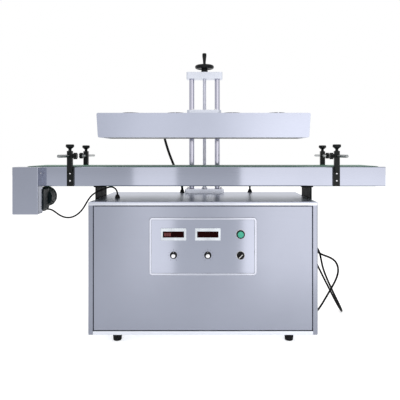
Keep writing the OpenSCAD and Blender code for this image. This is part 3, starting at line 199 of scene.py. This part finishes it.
def plated(name, colour, rough):
    """Bright plating with faint wipe marks."""
    n = Nodes(name)
    smears = n.noise(40, (1, 1, 0.2), detail=4.0)
    n.link(n.between(smears, shade(colour, 0.96), shade(colour, 1.02)), n.shader.inputs["Base Color"])
    n.link(n.spread(smears, rough * 0.7, rough * 1.5), n.shader.inputs["Roughness"])
    n.set(Metallic=1.0)
    n.bump(smears, 0.02, 0.0001)
    return n.material


def moulded(name, colour, rough, grain=900, depth=0.12, edge=0.0005, specular=0.16):
    """Moulded plastic or paint with a fine grain and slight wear."""
    n = Nodes(name)
    fine = n.noise(grain, detail=2.0)
    worn = n.noise(26, detail=5.0)
    n.link(n.between(worn, shade(colour, 0.86), shade(colour, 1.16)), n.shader.inputs["Base Color"])
    n.link(n.spread(worn, rough - 0.06, rough + 0.09), n.shader.inputs["Roughness"])
    n.set(Specular_IOR_Level=specular)
    n.bump(fine, depth, 0.0003, edge)
    return n.material


def woven_belt(name, colour):
    """Smooth conveyor belt with a faint cross weave and traffic marks along it."""
    n = Nodes(name)
    weave = n.noise(1.0, (700, 1400, 700), detail=2.0)
    marks = n.noise(1.0, (2.5, 40, 6), detail=4.0)
    n.link(n.between(marks, shade(colour, 0.82), shade(colour, 1.15)), n.shader.inputs["Base Color"])
    n.link(n.spread(marks, 0.42, 0.62), n.shader.inputs["Roughness"])
    n.bump(weave, 0.2, 0.0003)
    return n.material


def lens_glass(name, colour, rough, specular):
    """Dark tinted lens with a polished face."""
    n = Nodes(name)
    haze = n.noise(60, detail=3.0)
    n.link(n.between(haze, shade(colour, 0.8), shade(colour, 1.2)), n.shader.inputs["Base Color"])
    n.link(n.spread(haze, rough, rough + 0.06), n.shader.inputs["Roughness"])
    n.set(Specular_IOR_Level=specular)
    return n.material


def lit_segment(name, colour, strength):
    """Bar of a meter digit with a faint glow of its own."""
    n = Nodes(name)
    patches = n.noise(300, detail=2.0)
    n.link(n.between(patches, shade(colour, 0.9), shade(colour, 1.1)), n.shader.inputs["Base Color"])
    n.set(Emission_Color=(*colour, 1), Emission_Strength=strength, Roughness=0.4)
    return n.material


STEEL = (0.275, 0.294, 0.358)
BLACK = (0.0045, 0.006, 0.0065)

cabinet_steel = brushed_steel("cabinet_steel", STEEL, 0.31, "X")
# Brighter copy of the cabinet steel for the floor pan's turned-up edge: a painted highlight on the
# fold.
lip_highlight_steel = brushed_steel("lip_highlight_steel", (0.68, 0.71, 0.78), 0.32, "X", 0.002)
cover_sheet = lipped_steel("cover_sheet", shade(STEEL, 1.5), (0.53, 0.555, 0.62))
post_steel = brushed_steel("post_steel", shade(STEEL, 0.9), 0.2, "Z", 0.001)
rail_steel = brushed_steel("rail_steel", shade(STEEL, 1.06), 0.09, "X")
cover_steel = brushed_steel("cover_steel", shade(STEEL, 0.97), 0.24, "X", 0.0015)
head_steel = brushed_steel("head_steel", shade(STEEL, 1.46), 0.38, "X")
panel_alloy = brushed_steel("panel_alloy", shade(STEEL, 1.08), 0.12, "X", 0.001)
# The bead is lit partly by its rounded shape, and its base colour is brighter than the plate's alloy:
# a painted highlight.
bead_highlight_alloy = brushed_steel("bead_highlight_alloy", (0.44, 0.46, 0.53), 0.2, "X", 0.0)
bed_steel = brushed_steel("bed_steel", shade(STEEL, 0.95), 0.34, "X")
cast_alloy = machined("cast_alloy", (0.62, 0.65, 0.73), 0.4)
# The column base is brighter than the other lift castings to lift the shade of the gap under the
# conveyor: painted light.
base_alloy = brushed_steel("base_alloy", (0.76, 0.785, 0.865), 0.24, "X", 0.001)
bright_steel = plated("bright_steel", (0.42, 0.42, 0.50), 0.1)
ground_rod = machined("ground_rod", (0.22, 0.235, 0.24), 0.22, 0.0002)
turned_steel = machined("turned_steel", (0.62, 0.63, 0.70), 0.3, 0.0)
wire_chrome = plated("wire_chrome", (0.55, 0.56, 0.60), 0.14)
screw_zinc = plated("screw_zinc", (0.60, 0.60, 0.62), 0.2)
roller_alloy = machined("roller_alloy", (0.45, 0.46, 0.48), 0.32)
bronze = machined("bronze", (0.62, 0.46, 0.20), 0.34)
guide_black = moulded("guide_black", BLACK, 0.42)
wheel_black = moulded("wheel_black", BLACK, 0.36)
leg_black = moulded("leg_black", (0.0035, 0.0045, 0.004), 0.55, 500, 0.25, specular=0.05)
motor_black = moulded("motor_black", (0.006, 0.014, 0.017), 0.42, 260, 0.35)
gear_black = moulded("gear_black", (0.005, 0.011, 0.014), 0.45, 260, 0.35)
foot_rubber = moulded("foot_rubber", (0.006, 0.006, 0.007), 0.6, 700, 0.2, specular=0.12)
cord_black = moulded("cord_black", (0.004, 0.004, 0.005), 0.55, 1200, 0.1, 0.0, 0.12)
plug_black = moulded("plug_black", (0.016, 0.016, 0.017), 0.5, 900, 0.2)
gland_black = moulded("gland_black", (0.006, 0.006, 0.007), 0.4)
timing_rubber = moulded("timing_rubber", (0.02, 0.02, 0.021), 0.6)
belt_green = woven_belt("belt_green", (0.052, 0.165, 0.110))
meter_white = moulded("meter_white", (0.74, 0.80, 0.88), 0.35, 900, 0.05)
meter_lens = lens_glass("meter_lens", (0.011, 0.0012, 0.0014), 0.3, 0.02)
switch_black = moulded("switch_black", (0.006, 0.006, 0.007), 0.3)
button_green = lens_glass("button_green", (0.065, 0.43, 0.30), 0.22, 0.25)
module_grey = moulded("module_grey", (0.30, 0.32, 0.35), 0.5)
sole_grey = moulded("sole_grey", (0.10, 0.10, 0.11), 0.5)
coil_copper = machined("coil_copper", (0.55, 0.28, 0.14), 0.4)
fan_black = moulded("fan_black", (0.02, 0.02, 0.021), 0.45)
cap_silver = plated("cap_silver", (0.66, 0.67, 0.70), 0.24)
line_white = moulded("line_white", (0.85, 0.85, 0.85), 0.4, 900, 0.03, 0.0)
tick_dark = moulded("tick_dark", (0.06, 0.065, 0.08), 0.5, 900, 0.03, 0.0)
digit_red = lit_segment("digit_red", (0.40, 0.12, 0.12), 0.14)
tie_black = moulded("tie_black", (0.02, 0.02, 0.02), 0.6)

FINISH = {
    cabinet_steel: "front_panel",
    lip_highlight_steel: "floor_pan",
    cover_sheet: "top_cover",
    post_steel: "cabinet_shell",
    rail_steel: "front_rail rear_rail",
    cover_steel: "drive_cover",
    # The motor plate takes the brighter head steel to lift the shade it sits in behind the drive
    # cover: painted light.
    head_steel: "head_housing motor_plate",
    panel_alloy: "control_plate",
    bed_steel: "slider_bed",
    base_alloy: "column_base",
    cast_alloy: "top_plate carriage",
    bright_steel: "columns",
    turned_steel: "lead_screw",
    ground_rod: "guide_rod_1 guide_rod_2 guide_rod_3 guide_rod_4",
    bronze: "carriage_bushings",
    wire_chrome: "fan_guards",
    roller_alloy: "drive_roller tail_roller motor_pulley",
    foot_rubber: "rubber_feet",
    belt_green: "conveyor_belt",
    timing_rubber: "drive_belt",
    plug_black: "mains_plug",
    gland_black: "cable_glands",
    leg_black: "conveyor_legs",
    guide_black: "guide_posts clamp_knob_1 clamp_knob_2 clamp_knob_3 clamp_knob_4",
    wheel_black: "handwheel wheel_grip",
    gear_black: "gear_head",
    motor_black: "drive_motor",
    meter_white: "panel_meters",
    meter_lens: "meter_windows",
    switch_black: "control_sockets selector_knob left_dial right_dial",
    button_green: "start_button",
    module_grey: "power_module",
    sole_grey: "sole_plate",
    coil_copper: "coil_pack",
    fan_black: "fan_frames fan_rotor_1 fan_rotor_2 fan_rotor_3 fan_rotor_4",
    cord_black: "motor_cord sensor_cord mains_cord mains_coil head_cord",
}
for material, names in FINISH.items():
    for name in names.split():
        nodes[name].data.materials.clear()
        nodes[name].data.materials.append(material)


# Pieces
WELD = 1e-6                                     # points closer than this are one, in metres
SUNK = 0.2                                      # screws and trim go this far into what they sit on


def piece(name, build, material, body, smooth=True):
    """A piece whose mesh build() models in a bmesh, riding on a body."""
    bm = bmesh.new()
    build(bm)
    bmesh.ops.remove_doubles(bm, verts=bm.verts, dist=WELD)
    bmesh.ops.recalc_face_normals(bm, faces=bm.faces)
    mesh = bpy.data.meshes.new(name)
    bm.to_mesh(mesh)
    bm.free()
    if smooth:
        mesh.polygons.foreach_set("use_smooth", [True] * len(mesh.polygons))
        mesh.set_sharp_from_angle(angle=SHARP)
    mesh.materials.append(material)
    made = bpy.data.objects.new(name, mesh)
    scene.collection.objects.link(made)
    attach(made, body)
    return made


def turn(bm, profile, place, steps=24):
    """A turned shape: the profile's (radius, height) points in mm, spun about +Z and then placed."""
    before = set(bm.verts)
    verts = [bm.verts.new((r * MM, 0, h * MM)) for r, h in profile]
    edges = [bm.edges.new(pair) for pair in zip(verts, verts[1:])]
    bmesh.ops.spin(bm, geom=verts + edges, cent=(0, 0, 0), axis=(0, 0, 1), angle=2 * math.pi,
                   steps=steps, use_merge=True, use_duplicate=False)
    bmesh.ops.transform(bm, matrix=place, verts=[v for v in bm.verts if v not in before])


def round_edges(bm, edges, r, segments):
    """Rounds these edges to a radius in mm, and gives the points it made."""
    return bmesh.ops.bevel(bm, geom=edges, offset=r * MM, affect="EDGES", segments=segments,
                           profile=0.5, material=-1)["verts"]


def runs_deep(edge):
    """Whether an edge runs from front to back."""
    return abs((edge.verts[0].co - edge.verts[1].co).normalized().y) > 0.9


def block(bm, size, place, soften=0.0):
    """A box of these sides in mm, with softened edges where that is asked."""
    made = bmesh.ops.create_cube(bm, size=1.0)["verts"]
    bmesh.ops.scale(bm, vec=Vector(size) * MM, verts=made)
    if soften:
        edges = list(dict.fromkeys(e for v in made for e in v.link_edges))
        made = round_edges(bm, edges, soften, 2)
    bmesh.ops.transform(bm, matrix=place, verts=made)


def at(x, y, z, turned=None):
    """A place in mm, with a turn where one is given."""
    place = Matrix.Translation(Vector((x, y, z)) * MM)
    return place @ turned if turned is not None else place


def socket_screw(bm, r, h, place):
    """Cap screw with a round recess."""
    recess = [(0, 0.45 * h), (0.45 * r, 0.45 * h), (0.5 * r, h)]
    turn(bm, recess + [(0.86 * r, h), (r, 0.86 * h), (r, -SUNK)], place, 20)


def domed_screw(bm, r, h, place):
    """Domed screw with a small recess."""
    recess = [(0, 0.55 * h), (0.3 * r, 0.6 * h), (0.34 * r, h)]
    dome = [(0.6 * r, 0.9 * h), (0.86 * r, 0.6 * h), (r, 0.1 * h), (r, -SUNK)]
    turn(bm, recess + dome, place, 16)


# Cords: the same routes as the solids
ROUTE_STEPS = 4                                 # points of a cord between two points of its route


def smooth_route(points):
    """Points of the uniform cubic spline that starts and ends on the route's ends, in metres."""
    p = [Vector(q) for q in points]
    p = [2 * p[0] - p[1], *p, 2 * p[-1] - p[-2]]
    out = []
    for a, b, c, d in zip(p, p[1:], p[2:], p[3:]):
        for k in range(ROUTE_STEPS):
            t = k / ROUTE_STEPS
            out.append(((1 - t) ** 3 * a + (3 * t**3 - 6 * t * t + 4) * b
                        + (-3 * t**3 + 3 * t * t + 3 * t + 1) * c + t**3 * d) / 6 * MM)
    out.append(Vector(points[-1]) * MM)
    return out


def cord(name, path, d, replaced):
    """A round cord as a curve along a path in metres."""
    curve = bpy.data.curves.new(name, "CURVE")
    curve.dimensions = "3D"
    curve.bevel_depth = d / 2 * MM
    curve.bevel_resolution = 3
    curve.use_fill_caps = True
    line = curve.splines.new("POLY")
    line.points.add(len(path) - 1)
    for point, p in zip(line.points, path):
        point.co = (*p, 1)
    curve.materials.append(cord_black)
    made = bpy.data.objects.new(name, curve)
    scene.collection.objects.link(made)
    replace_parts(made, *replaced)
    return made


MOTOR_ROUTE = [
    [-684, -28, 509], [-672, -28, 509], [-656, -29, 506], [-640, -33, 496], [-620, -39, 483],
    [-596, -48, 475], [-570, -58, 475], [-545, -69, 484], [-522, -79, 500], [-503, -88, 522],
    [-488, -95, 547], [-472, -99, 571], [-450, -98, 588], [-423, -88, 598], [-392, -67, 612],
    [-374, -54, 598], [-369, -51, 582], [-369, -51, 574],
]
HEAD_ROUTE = [
    [-196, 138, 856], [-196, 152, 856], [-195, 173, 848], [-192, 193, 826], [-183, 198, 790],
    [-168, 204, 742], [-148, 211, 692], [-128, 215, 645], [-113, 215, 608], [-108, 215, 586],
    [-108, 215, 574],
]
SENSOR_ROUTE = [
    [221, 235, 574], [221, 235, 592], [221, 235, 614], [221, 225, 635], [221, 204, 648],
    [221, 176, 648], [221, 145, 648], [221, 115, 648],
]
MAINS_ROUTE = [
    [480, 145, 320], [495, 145, 320], [514, 144, 318], [534, 137, 304], [542, 127, 270],
    [547, 116, 224], [565, 111, 175], [588, 115, 126], [610, 117, 80], [630, 117, 40],
    [643, 133, 13], [648, 161, 4], [644, 188, 13], [630, 205, 40], [610, 204, 80],
    [586, 202, 126], [562, 200, 174], [538, 198, 222], [515, 194, 268], [496, 184, 309],
    [486, 155, 334], [488, 117, 328], [506, 91, 308], [533, 78, 289], [567, 74, 280],
    [600, 74, 261], [613, 74, 222], [602, 74, 180], [580, 75, 140], [557, 77, 99],
    [535, 82, 58], [516, 91, 25], [500, 113, 6], [492, 145, 5], [488, 180, 5],
    [484, 216, 5], [479, 252, 5], [478, 283, 5], [477, 312, 5],
]
COIL_MIDDLE = (420, 330)
COIL_OUT, COIL_IN, COIL_LOW, COIL_HIGH = 57.3, 47.9, 5.0, 14.2
COIL_START, COIL_END, COIL_STEP = -17.5, 1170, 6        # degrees
COIL_JOIN, COIL_JOIN_END = 2.5, 40                      # where the cord runs into the first turn
STEP_IN, STEP_UP, STEP_OUT = (270, 360), (540, 630), (810, 900)
TAIL_ROUTE = [
    [420, 387.3, 14.2], [404, 387.2, 14], [388, 385.6, 13], [372, 383, 11.4], [357, 382, 10.5],
]
TIE_ANGLE, TIE_WIDE, TIE_Z = 225, 12, 9.8
TIE_WALLS, TIE_CORNER = (9.4, 10.2), 4                  # half the band's inner and outer size


def eased(v, a, b):
    """From nought at a to one at b, with a soft start and end."""
    t = min(1.0, max(0.0, (v - a) / (b - a)))
    return t * t * (3 - 2 * t)


def coil_turns():
    """Two layers of two turns: out to in on the floor, up, and in to out on top."""
    out = []
    count = round((COIL_END - COIL_START) / COIL_STEP)
    for i in range(count + 1):
        angle = COIL_START + (COIL_END - COIL_START) * i / count
        r = COIL_OUT - (COIL_OUT - COIL_IN) * (eased(angle, *STEP_IN) - eased(angle, *STEP_OUT))
        r += COIL_JOIN * (1 - eased(angle, COIL_START, COIL_JOIN_END))
        z = COIL_LOW + (COIL_HIGH - COIL_LOW) * eased(angle, *STEP_UP)
        a = math.radians(angle)
        x = COIL_MIDDLE[0] + r * math.cos(a)
        y = COIL_MIDDLE[1] + r * math.sin(a)
        out.append(Vector((x, y, z)) * MM)
    return out


def make_cords():
    motor = smooth_route(MOTOR_ROUTE)
    motor_cord = cord("motor_lead", motor, 7, ["motor_cord"])
    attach(motor_cord, "base")

    sensor = smooth_route(SENSOR_ROUTE)
    sensor_cord = cord("sensor_lead", sensor, 9, ["sensor_cord"])
    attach(sensor_cord, "base")

    mains = smooth_route(MAINS_ROUTE) + coil_turns()[1:] + smooth_route(TAIL_ROUTE)[1:]
    mains_cord = cord("mains_lead", mains, 9, ["mains_cord", "mains_coil"])
    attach(mains_cord, "base")
    tie = piece("coil_tie", wrap_tie, tie_black, "base")

    head = smooth_route(HEAD_ROUTE)
    curve = cord("head_lead_line", head, 12, ["head_cord"])
    solved = curve.evaluated_get(bpy.context.evaluated_depsgraph_get())
    mesh = bpy.data.meshes.new_from_object(solved)
    bpy.data.objects.remove(curve)
    head_cord = bpy.data.objects.new("head_lead", mesh)
    scene.collection.objects.link(head_cord)
    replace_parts(head_cord, "head_cord")
    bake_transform(head_cord)


def wrap_tie(bm):
    """Flat band around the coil's turns: an inner and an outer sleeve, joined at both ends."""
    x = COIL_MIDDLE[0] + (COIL_OUT + COIL_IN) / 2 * math.cos(math.radians(TIE_ANGLE))
    y = COIL_MIDDLE[1] + (COIL_OUT + COIL_IN) / 2 * math.sin(math.radians(TIE_ANGLE))
    place = at(x, y, TIE_Z, Matrix.Rotation(math.radians(TIE_ANGLE - 180), 4, "Z"))
    for wall in TIE_WALLS:
        ring = bmesh.ops.create_cube(bm, size=1.0)["verts"]
        bmesh.ops.scale(bm, vec=Vector((2 * wall + 0.6, TIE_WIDE, 2 * wall - 0.6)) * MM, verts=ring)
        faces = dict.fromkeys(f for v in ring for f in v.link_faces)
        ends = [f for f in faces if abs(f.normal.y) > 0.9]
        bmesh.ops.delete(bm, geom=ends, context="FACES_ONLY")
        edges = dict.fromkeys(e for v in ring for e in v.link_edges)
        round_edges(bm, [e for e in edges if runs_deep(e)], TIE_CORNER, 5)
    open_edges = [e for e in bm.edges if e.is_boundary]
    for side in (-1, 1):
        bmesh.ops.bridge_loops(bm, edges=[e for e in open_edges if e.verts[0].co.y * side > 0])
    bmesh.ops.transform(bm, matrix=place, verts=bm.verts)


# Floor, world and lamps
ROOM, FLOOR_GLOW, FLOOR_HALF = 0.72, 0.55, 14
LAMP_TINT = (1.0, 0.95, 0.90)
SOFTBOXES = (                                   # name, place, aim, width, height, watts
    ("right_softbox", (0.76, -1.20, 0.65), (0.76, 0, 0.65), 1.08, 1.5, 6.0),
    ("left_softbox", (-0.33, -1.20, 0.65), (-0.33, 0, 0.65), 0.28, 1.5, 1.1),
    ("top_softbox", (0.0, 0.2, 3.2), (0, 0.1, 0), 3.0, 3.0, 18.0),
)


def straight_rays(tree):
    """One for camera, mirror and glass rays, which see the white studio, and nought for soft light."""
    path = tree.nodes.new("ShaderNodeLightPath")
    seen = path.outputs["Is Camera Ray"]
    for other in ("Is Glossy Ray", "Is Transmission Ray"):
        join = tree.nodes.new("ShaderNodeMath")
        join.operation = "MAXIMUM"
        tree.links.new(seen, join.inputs[0])
        tree.links.new(path.outputs[other], join.inputs[1])
        seen = join.outputs["Value"]
    return seen


def set_stage():
    bm = bmesh.new()
    bmesh.ops.create_grid(bm, x_segments=1, y_segments=1, size=FLOOR_HALF)
    mesh = bpy.data.meshes.new("floor")
    bm.to_mesh(mesh)
    bm.free()
    floor = bpy.data.objects.new("floor", mesh)
    scene.collection.objects.link(floor)
    n = Nodes("floor_white")
    patches = n.noise(2.0)
    n.link(n.between(patches, (0.90, 0.90, 0.90), (0.92, 0.92, 0.92)), n.shader.inputs["Base Color"])
    n.set(Roughness=0.9, Specular_IOR_Level=0.0, Emission_Color=(1, 1, 1, 1))
    glow = n.spread(straight_rays(n.tree), 0.0, FLOOR_GLOW, 0.0, 1.0)
    n.link(glow, n.shader.inputs["Emission Strength"])
    mesh.materials.append(n.material)

    world = bpy.data.worlds.new("studio")
    scene.world = world
    world.use_nodes = True
    tree = world.node_tree
    plain = tree.nodes.new("ShaderNodeMix")
    plain.data_type = "RGBA"
    plain.inputs["A"].default_value = (ROOM, ROOM, ROOM, 1)
    plain.inputs["B"].default_value = (1, 1, 1, 1)
    tree.links.new(straight_rays(tree), plain.inputs["Factor"])
    tree.links.new(plain.outputs["Result"], tree.nodes["Background"].inputs["Color"])

    for name, place, aim, wide, high, power in SOFTBOXES:
        data = bpy.data.lights.new(name, "AREA")
        data.shape = "RECTANGLE"
        data.size, data.size_y = wide, high
        data.energy = power
        data.color = LAMP_TINT
        lamp = bpy.data.objects.new(name, data)
        lamp.location = place
        lamp.rotation_euler = (Vector(aim) - Vector(place)).to_track_quat("-Z", "Y").to_euler()
        lamp.visible_camera = False
        scene.collection.objects.link(lamp)
    scene.view_settings.view_transform = "Standard"


# Fasteners, at the places of the solids they hold, in mm
RAIL_Y, BRACKET_DEEP, BRACKET_BOLT_Z = 115, 10, (667, 637)
POST_X, ROD_Z = 550, 739
POST_DEEP, ROD_OUT = 22, 138                    # from the rail to the post, and on to the rod's tip
GUIDES = {1: (-1, -1), 2: (1, -1), 3: (-1, 1), 4: (1, 1)}
HEAD_TOP, HEAD_MID = 921, 20
FAN_X, FAN_HOLE = (-323, -124, 124, 323), 41
CARRIAGE_TOP, CARRIAGE_HOLE_X, CARRIAGE_HOLE_Y = HEAD_TOP + 26, 52, (80, 104)
BASE_TOP, BASE_HOLE_X, BASE_HOLE_Y = 580, 80, (178, 242)
COLUMN_X, LIFT_Y, TOP_PLATE_TOP = 61.5, 206, 1138
LEG_X, LEG_BOLT_Y, LEG_BOLT_Z = 455, (-70, 10, 90), 512
COVER_LEFT, COVER_RIGHT, COVER_SCREW_Y, COVER_SCREW_Z = -772, -667, -134, (530, 668)
GEAR_AT, GEAR_BACK, GEAR_HOLES = (-702.5, 559), -47, (32, 38)


def bracket_bolts(bm):
    for sx in (-1, 1):
        for sy, facing in ((-1, FRONT), (1, BACK)):
            for z in BRACKET_BOLT_Z:
                domed_screw(bm, 4.4, 3.2, at(sx * POST_X, sy * (RAIL_Y + BRACKET_DEEP), z, facing))


def fan_screws(bm):
    for x in FAN_X:
        for dx in (-FAN_HOLE, FAN_HOLE):
            for dy in (-FAN_HOLE, FAN_HOLE):
                domed_screw(bm, 3.6, 2.2, at(x + dx, HEAD_MID + dy, HEAD_TOP))


def carriage_screws(bm):
    for x in (-CARRIAGE_HOLE_X, CARRIAGE_HOLE_X):
        for y in CARRIAGE_HOLE_Y:
            socket_screw(bm, 5, 5, at(x, y, CARRIAGE_TOP))


def lift_screws(bm):
    """Screws of the column base, and those that hold the columns in the top plate."""
    for x in (-BASE_HOLE_X, BASE_HOLE_X):
        for y in BASE_HOLE_Y:
            socket_screw(bm, 5, 5, at(x, y, BASE_TOP))
    for x in (-COLUMN_X, COLUMN_X):
        socket_screw(bm, 6.5, 4, at(x, LIFT_Y, TOP_PLATE_TOP))


def leg_bolts(bm):
    for side, facing in ((-1, LEFTWARD), (1, RIGHTWARD)):
        for y in LEG_BOLT_Y:
            domed_screw(bm, 6, 4, at(side * LEG_X, y, LEG_BOLT_Z, facing))


def cover_screws(bm):
    for z in COVER_SCREW_Z:
        domed_screw(bm, 3.4, 2, at(COVER_LEFT, COVER_SCREW_Y, z, LEFTWARD))
        domed_screw(bm, 3.4, 2, at(COVER_RIGHT, COVER_SCREW_Y, z, RIGHTWARD))


def gear_screws(bm):
    across, up = GEAR_HOLES
    for dx in (-across, across):
        for dz in (-up, up):
            socket_screw(bm, 4, 4, at(GEAR_AT[0] + dx, GEAR_BACK, GEAR_AT[1] + dz, BACK))


def make_fasteners():
    piece("bracket_bolts", bracket_bolts, screw_zinc, "base")
    piece("fan_screws", fan_screws, screw_zinc, "head")
    piece("carriage_screws", carriage_screws, screw_zinc, "head")
    piece("lift_screws", lift_screws, screw_zinc, "base")
    piece("leg_bolts", leg_bolts, screw_zinc, "base")
    piece("cover_screws", cover_screws, screw_zinc, "base")
    piece("gear_screws", gear_screws, screw_zinc, "base")
    tip = [(0, 0.9), (3.2, 0.7), (4.4, 0), (4.4, -0.4)]
    for i, (sx, sy) in GUIDES.items():
        end = sy * (RAIL_Y + POST_DEEP + ROD_OUT)
        place = at(sx * POST_X, end, ROD_Z, BACK if sy > 0 else FRONT)
        piece(f"rod_tip_{i}", lambda bm: turn(bm, tip, place), ground_rod, f"rod_{i}")


# Lead screw with a real thread
PITCH, TURN_STEPS = 4.0, 16
THREAD_R, ROOT_R, COLLAR_R, END_CHAMFER = 9.0, 7.6, 14, 0.8
THREAD_LOW, THREAD_HIGH = 590, 1104
SCREW_LOW, SCREW_HIGH = 568.3, 1144
COLLAR_LOW, COLLAR_HIGH = 580.3, 586.3


def threaded_screw(bm):
    """One thread swept up the screw between two plain ends, the lower one with a collar."""
    r, root, tip = THREAD_R, ROOT_R, THREAD_R - END_CHAMFER
    turns = round((THREAD_HIGH - THREAD_LOW) / PITCH)
    profile = [(root, 0), (r, 1.1), (r, 1.9), (root, 3), (root, PITCH)]
    verts = [bm.verts.new((a * MM, 0, (THREAD_LOW + h) * MM)) for a, h in profile]
    edges = [bm.edges.new(pair) for pair in zip(verts, verts[1:])]
    bmesh.ops.spin(bm, geom=verts + edges, cent=(0, 0, 0), axis=(0, 0, 1),
                   dvec=(0, 0, PITCH / TURN_STEPS * MM), angle=2 * math.pi * turns,
                   steps=turns * TURN_STEPS, use_duplicate=False)
    axis = at(0, LIFT_Y, 0)
    bmesh.ops.transform(bm, matrix=axis, verts=bm.verts)
    foot = [(0, SCREW_LOW), (tip, SCREW_LOW), (r, SCREW_LOW + END_CHAMFER), (r, COLLAR_LOW)]
    shoulder = [(COLLAR_R, COLLAR_LOW), (COLLAR_R, COLLAR_HIGH), (r, COLLAR_HIGH)]
    turn(bm, foot + shoulder + [(r, 594), (root, 596), (0, 596)], axis, 32)
    top = [(r, SCREW_HIGH - END_CHAMFER), (tip, SCREW_HIGH), (0, SCREW_HIGH)]
    turn(bm, [(0, 1100), (root, 1100), (r, 1102)] + top, axis, 32)


# Control panel
PLATE_Y, PLATE_Z, UPPER_Z, LOWER_Z = -228, 386, 434, 352
DIAL_X, DIAL_DEEP = {"left": -115, "right": 19}, 18
SELECTOR_X, SELECTOR_FRONT = 147, -252.4
BEAD_CORNER, BEAD_ROUND = 12, 2.6
TICKS, TICK_FROM, TICK_STEP = 11, -150, 30      # marks around a dial, in degrees
WINDOW_FRONT = -234.75
DIGITS, DIGIT_X, DIGIT_STEP, DIGIT_W, DIGIT_H = 3, -147, 9, 5.0, 5.6
BAR, BAR_GAP = 1.1, 1.6


def plate_bead(bm):
    """Rounded rim over the control plate's raised edge."""
    w, h, deep, wide = 420.6, 226.6, 3.2, 9.6
    bmesh.ops.create_cube(bm, size=1.0)
    bmesh.ops.scale(bm, vec=Vector((w, deep, h)) * MM, verts=bm.verts)
    round_edges(bm, [e for e in bm.edges if runs_deep(e)], BEAD_CORNER, 6)
    bm.normal_update()
    front = [f for f in bm.faces if f.normal.y < -0.9]
    bmesh.ops.delete(bm, geom=[f for f in bm.faces if f.normal.y > 0.9], context="FACES_ONLY")
    bmesh.ops.inset_region(bm, faces=front, thickness=wide * MM, use_even_offset=True)
    rim = list(front[0].edges)
    bmesh.ops.delete(bm, geom=front, context="FACES_ONLY")
    drawn = bmesh.ops.extrude_edge_only(bm, edges=rim)["geom"]
    inner = [v for v in drawn if isinstance(v, bmesh.types.BMVert)]
    bmesh.ops.translate(bm, vec=(0, deep * MM, 0), verts=inner)
    bmesh.ops.recalc_face_normals(bm, faces=bm.faces)
    bm.normal_update()
    face_y = -deep / 2 * MM + WELD
    edges = [e for e in bm.edges if len(e.link_faces) == 2
             and all(v.co.y < face_y for v in e.verts) and e.calc_face_angle() > 1.0]
    round_edges(bm, edges, BEAD_ROUND, 4)
    bmesh.ops.transform(bm, matrix=at(0, PLATE_Y - deep / 2 + SUNK, PLATE_Z), verts=bm.verts)


def scale_ticks(bm):
    """Plain marks around each dial, every fifth one longer."""
    for x in DIAL_X.values():
        for k in range(TICKS):
            angle = math.radians(TICK_FROM + TICK_STEP * k)
            r, length = (20.5, 4) if k % 5 else (21.5, 6)
            place = at(x + r * math.sin(angle), PLATE_Y - 0.1, LOWER_Z + r * math.cos(angle),
                       Matrix.Rotation(angle, 4, "Y"))
            block(bm, (0.9, 0.25, length), place)


def digit_segments(bm):
    """Three digits of seven bars each, on the left meter's window."""
    w, h = DIGIT_W, DIGIT_H
    for k in range(DIGITS):
        x = DIGIT_X + DIGIT_STEP * k
        bars = [(x, z, w - BAR_GAP, BAR) for z in (-h, 0, h)]
        bars += [(x + dx, dz, BAR, h - BAR_GAP) for dx in (-w / 2, w / 2) for dz in (-h / 2, h / 2)]
        for bx, bz, bw, bh in bars:
            block(bm, (bw, 0.2, bh), at(bx, WINDOW_FRONT, UPPER_Z + bz))


def collar(bm, inner, outer, high, place):
    """Flat ring with a chamfered outer rim, for the button and the selector."""
    edge = 0.6
    profile = [(inner, -0.1), (outer, -0.1), (outer, high - edge), (outer - edge, high), (inner, high)]
    turn(bm, profile, place, 40)


def make_controls():
    piece("plate_bead", plate_bead, bead_highlight_alloy, "base")
    piece("scale_ticks", scale_ticks, tick_dark, "base", smooth=False)
    piece("meter_digits", digit_segments, digit_red, "base", smooth=False)
    cap = [(0, 0.9), (6.4, 0.7), (7.6, 0.2), (8, -0.6)]
    for side, x in DIAL_X.items():
        face = at(x, PLATE_Y - DIAL_DEEP, LOWER_Z, FRONT)
        piece(f"{side}_dial_cap", lambda bm: turn(bm, cap, face), cap_silver, f"dial_{side}")
        rim = at(x, PLATE_Y - 4.6, LOWER_Z + 11.6)
        piece(f"{side}_dial_pointer", lambda bm: block(bm, (1.6, 5, 3), rim, 0.3),
              line_white, f"dial_{side}")
    face = at(SELECTOR_X, PLATE_Y, LOWER_Z, FRONT)
    piece("selector_ring", lambda bm: collar(bm, 15.6, 17.2, 3.2, face), cap_silver, "base")
    tilted = at(SELECTOR_X, SELECTOR_FRONT, LOWER_Z, Matrix.Rotation(math.radians(45), 4, "Y"))
    piece("selector_line", lambda bm: block(bm, (2.4, 0.5, 20), tilted, 0.2),
          line_white, "selector")
    face = at(SELECTOR_X, PLATE_Y, UPPER_Z, FRONT)
    piece("button_ring", lambda bm: collar(bm, 17.1, 18.6, 2.8, face), cap_silver, "base")


# Strain relief of the mains cord
BOOT_AT = (145, 320)
BOOT_RIBS = ((466, 9.0), (470, 8.6), (474, 8.2), (478, 7.8))       # place along X and radius


def boot_ribs(bm):
    for x, r in BOOT_RIBS:
        rib = [(r - 0.8, -1.2), (r + 0.6, -0.8), (r + 0.6, 0.8), (r - 0.8, 1.2)]
        turn(bm, rib, at(x, *BOOT_AT, RIGHTWARD), 24)


place_camera()
set_stage()
make_cords()
make_fasteners()
make_controls()
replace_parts(piece("threaded_screw", threaded_screw, turned_steel, "wheel"), "lead_screw")
piece("boot_ribs", boot_ribs, gland_black, "base")
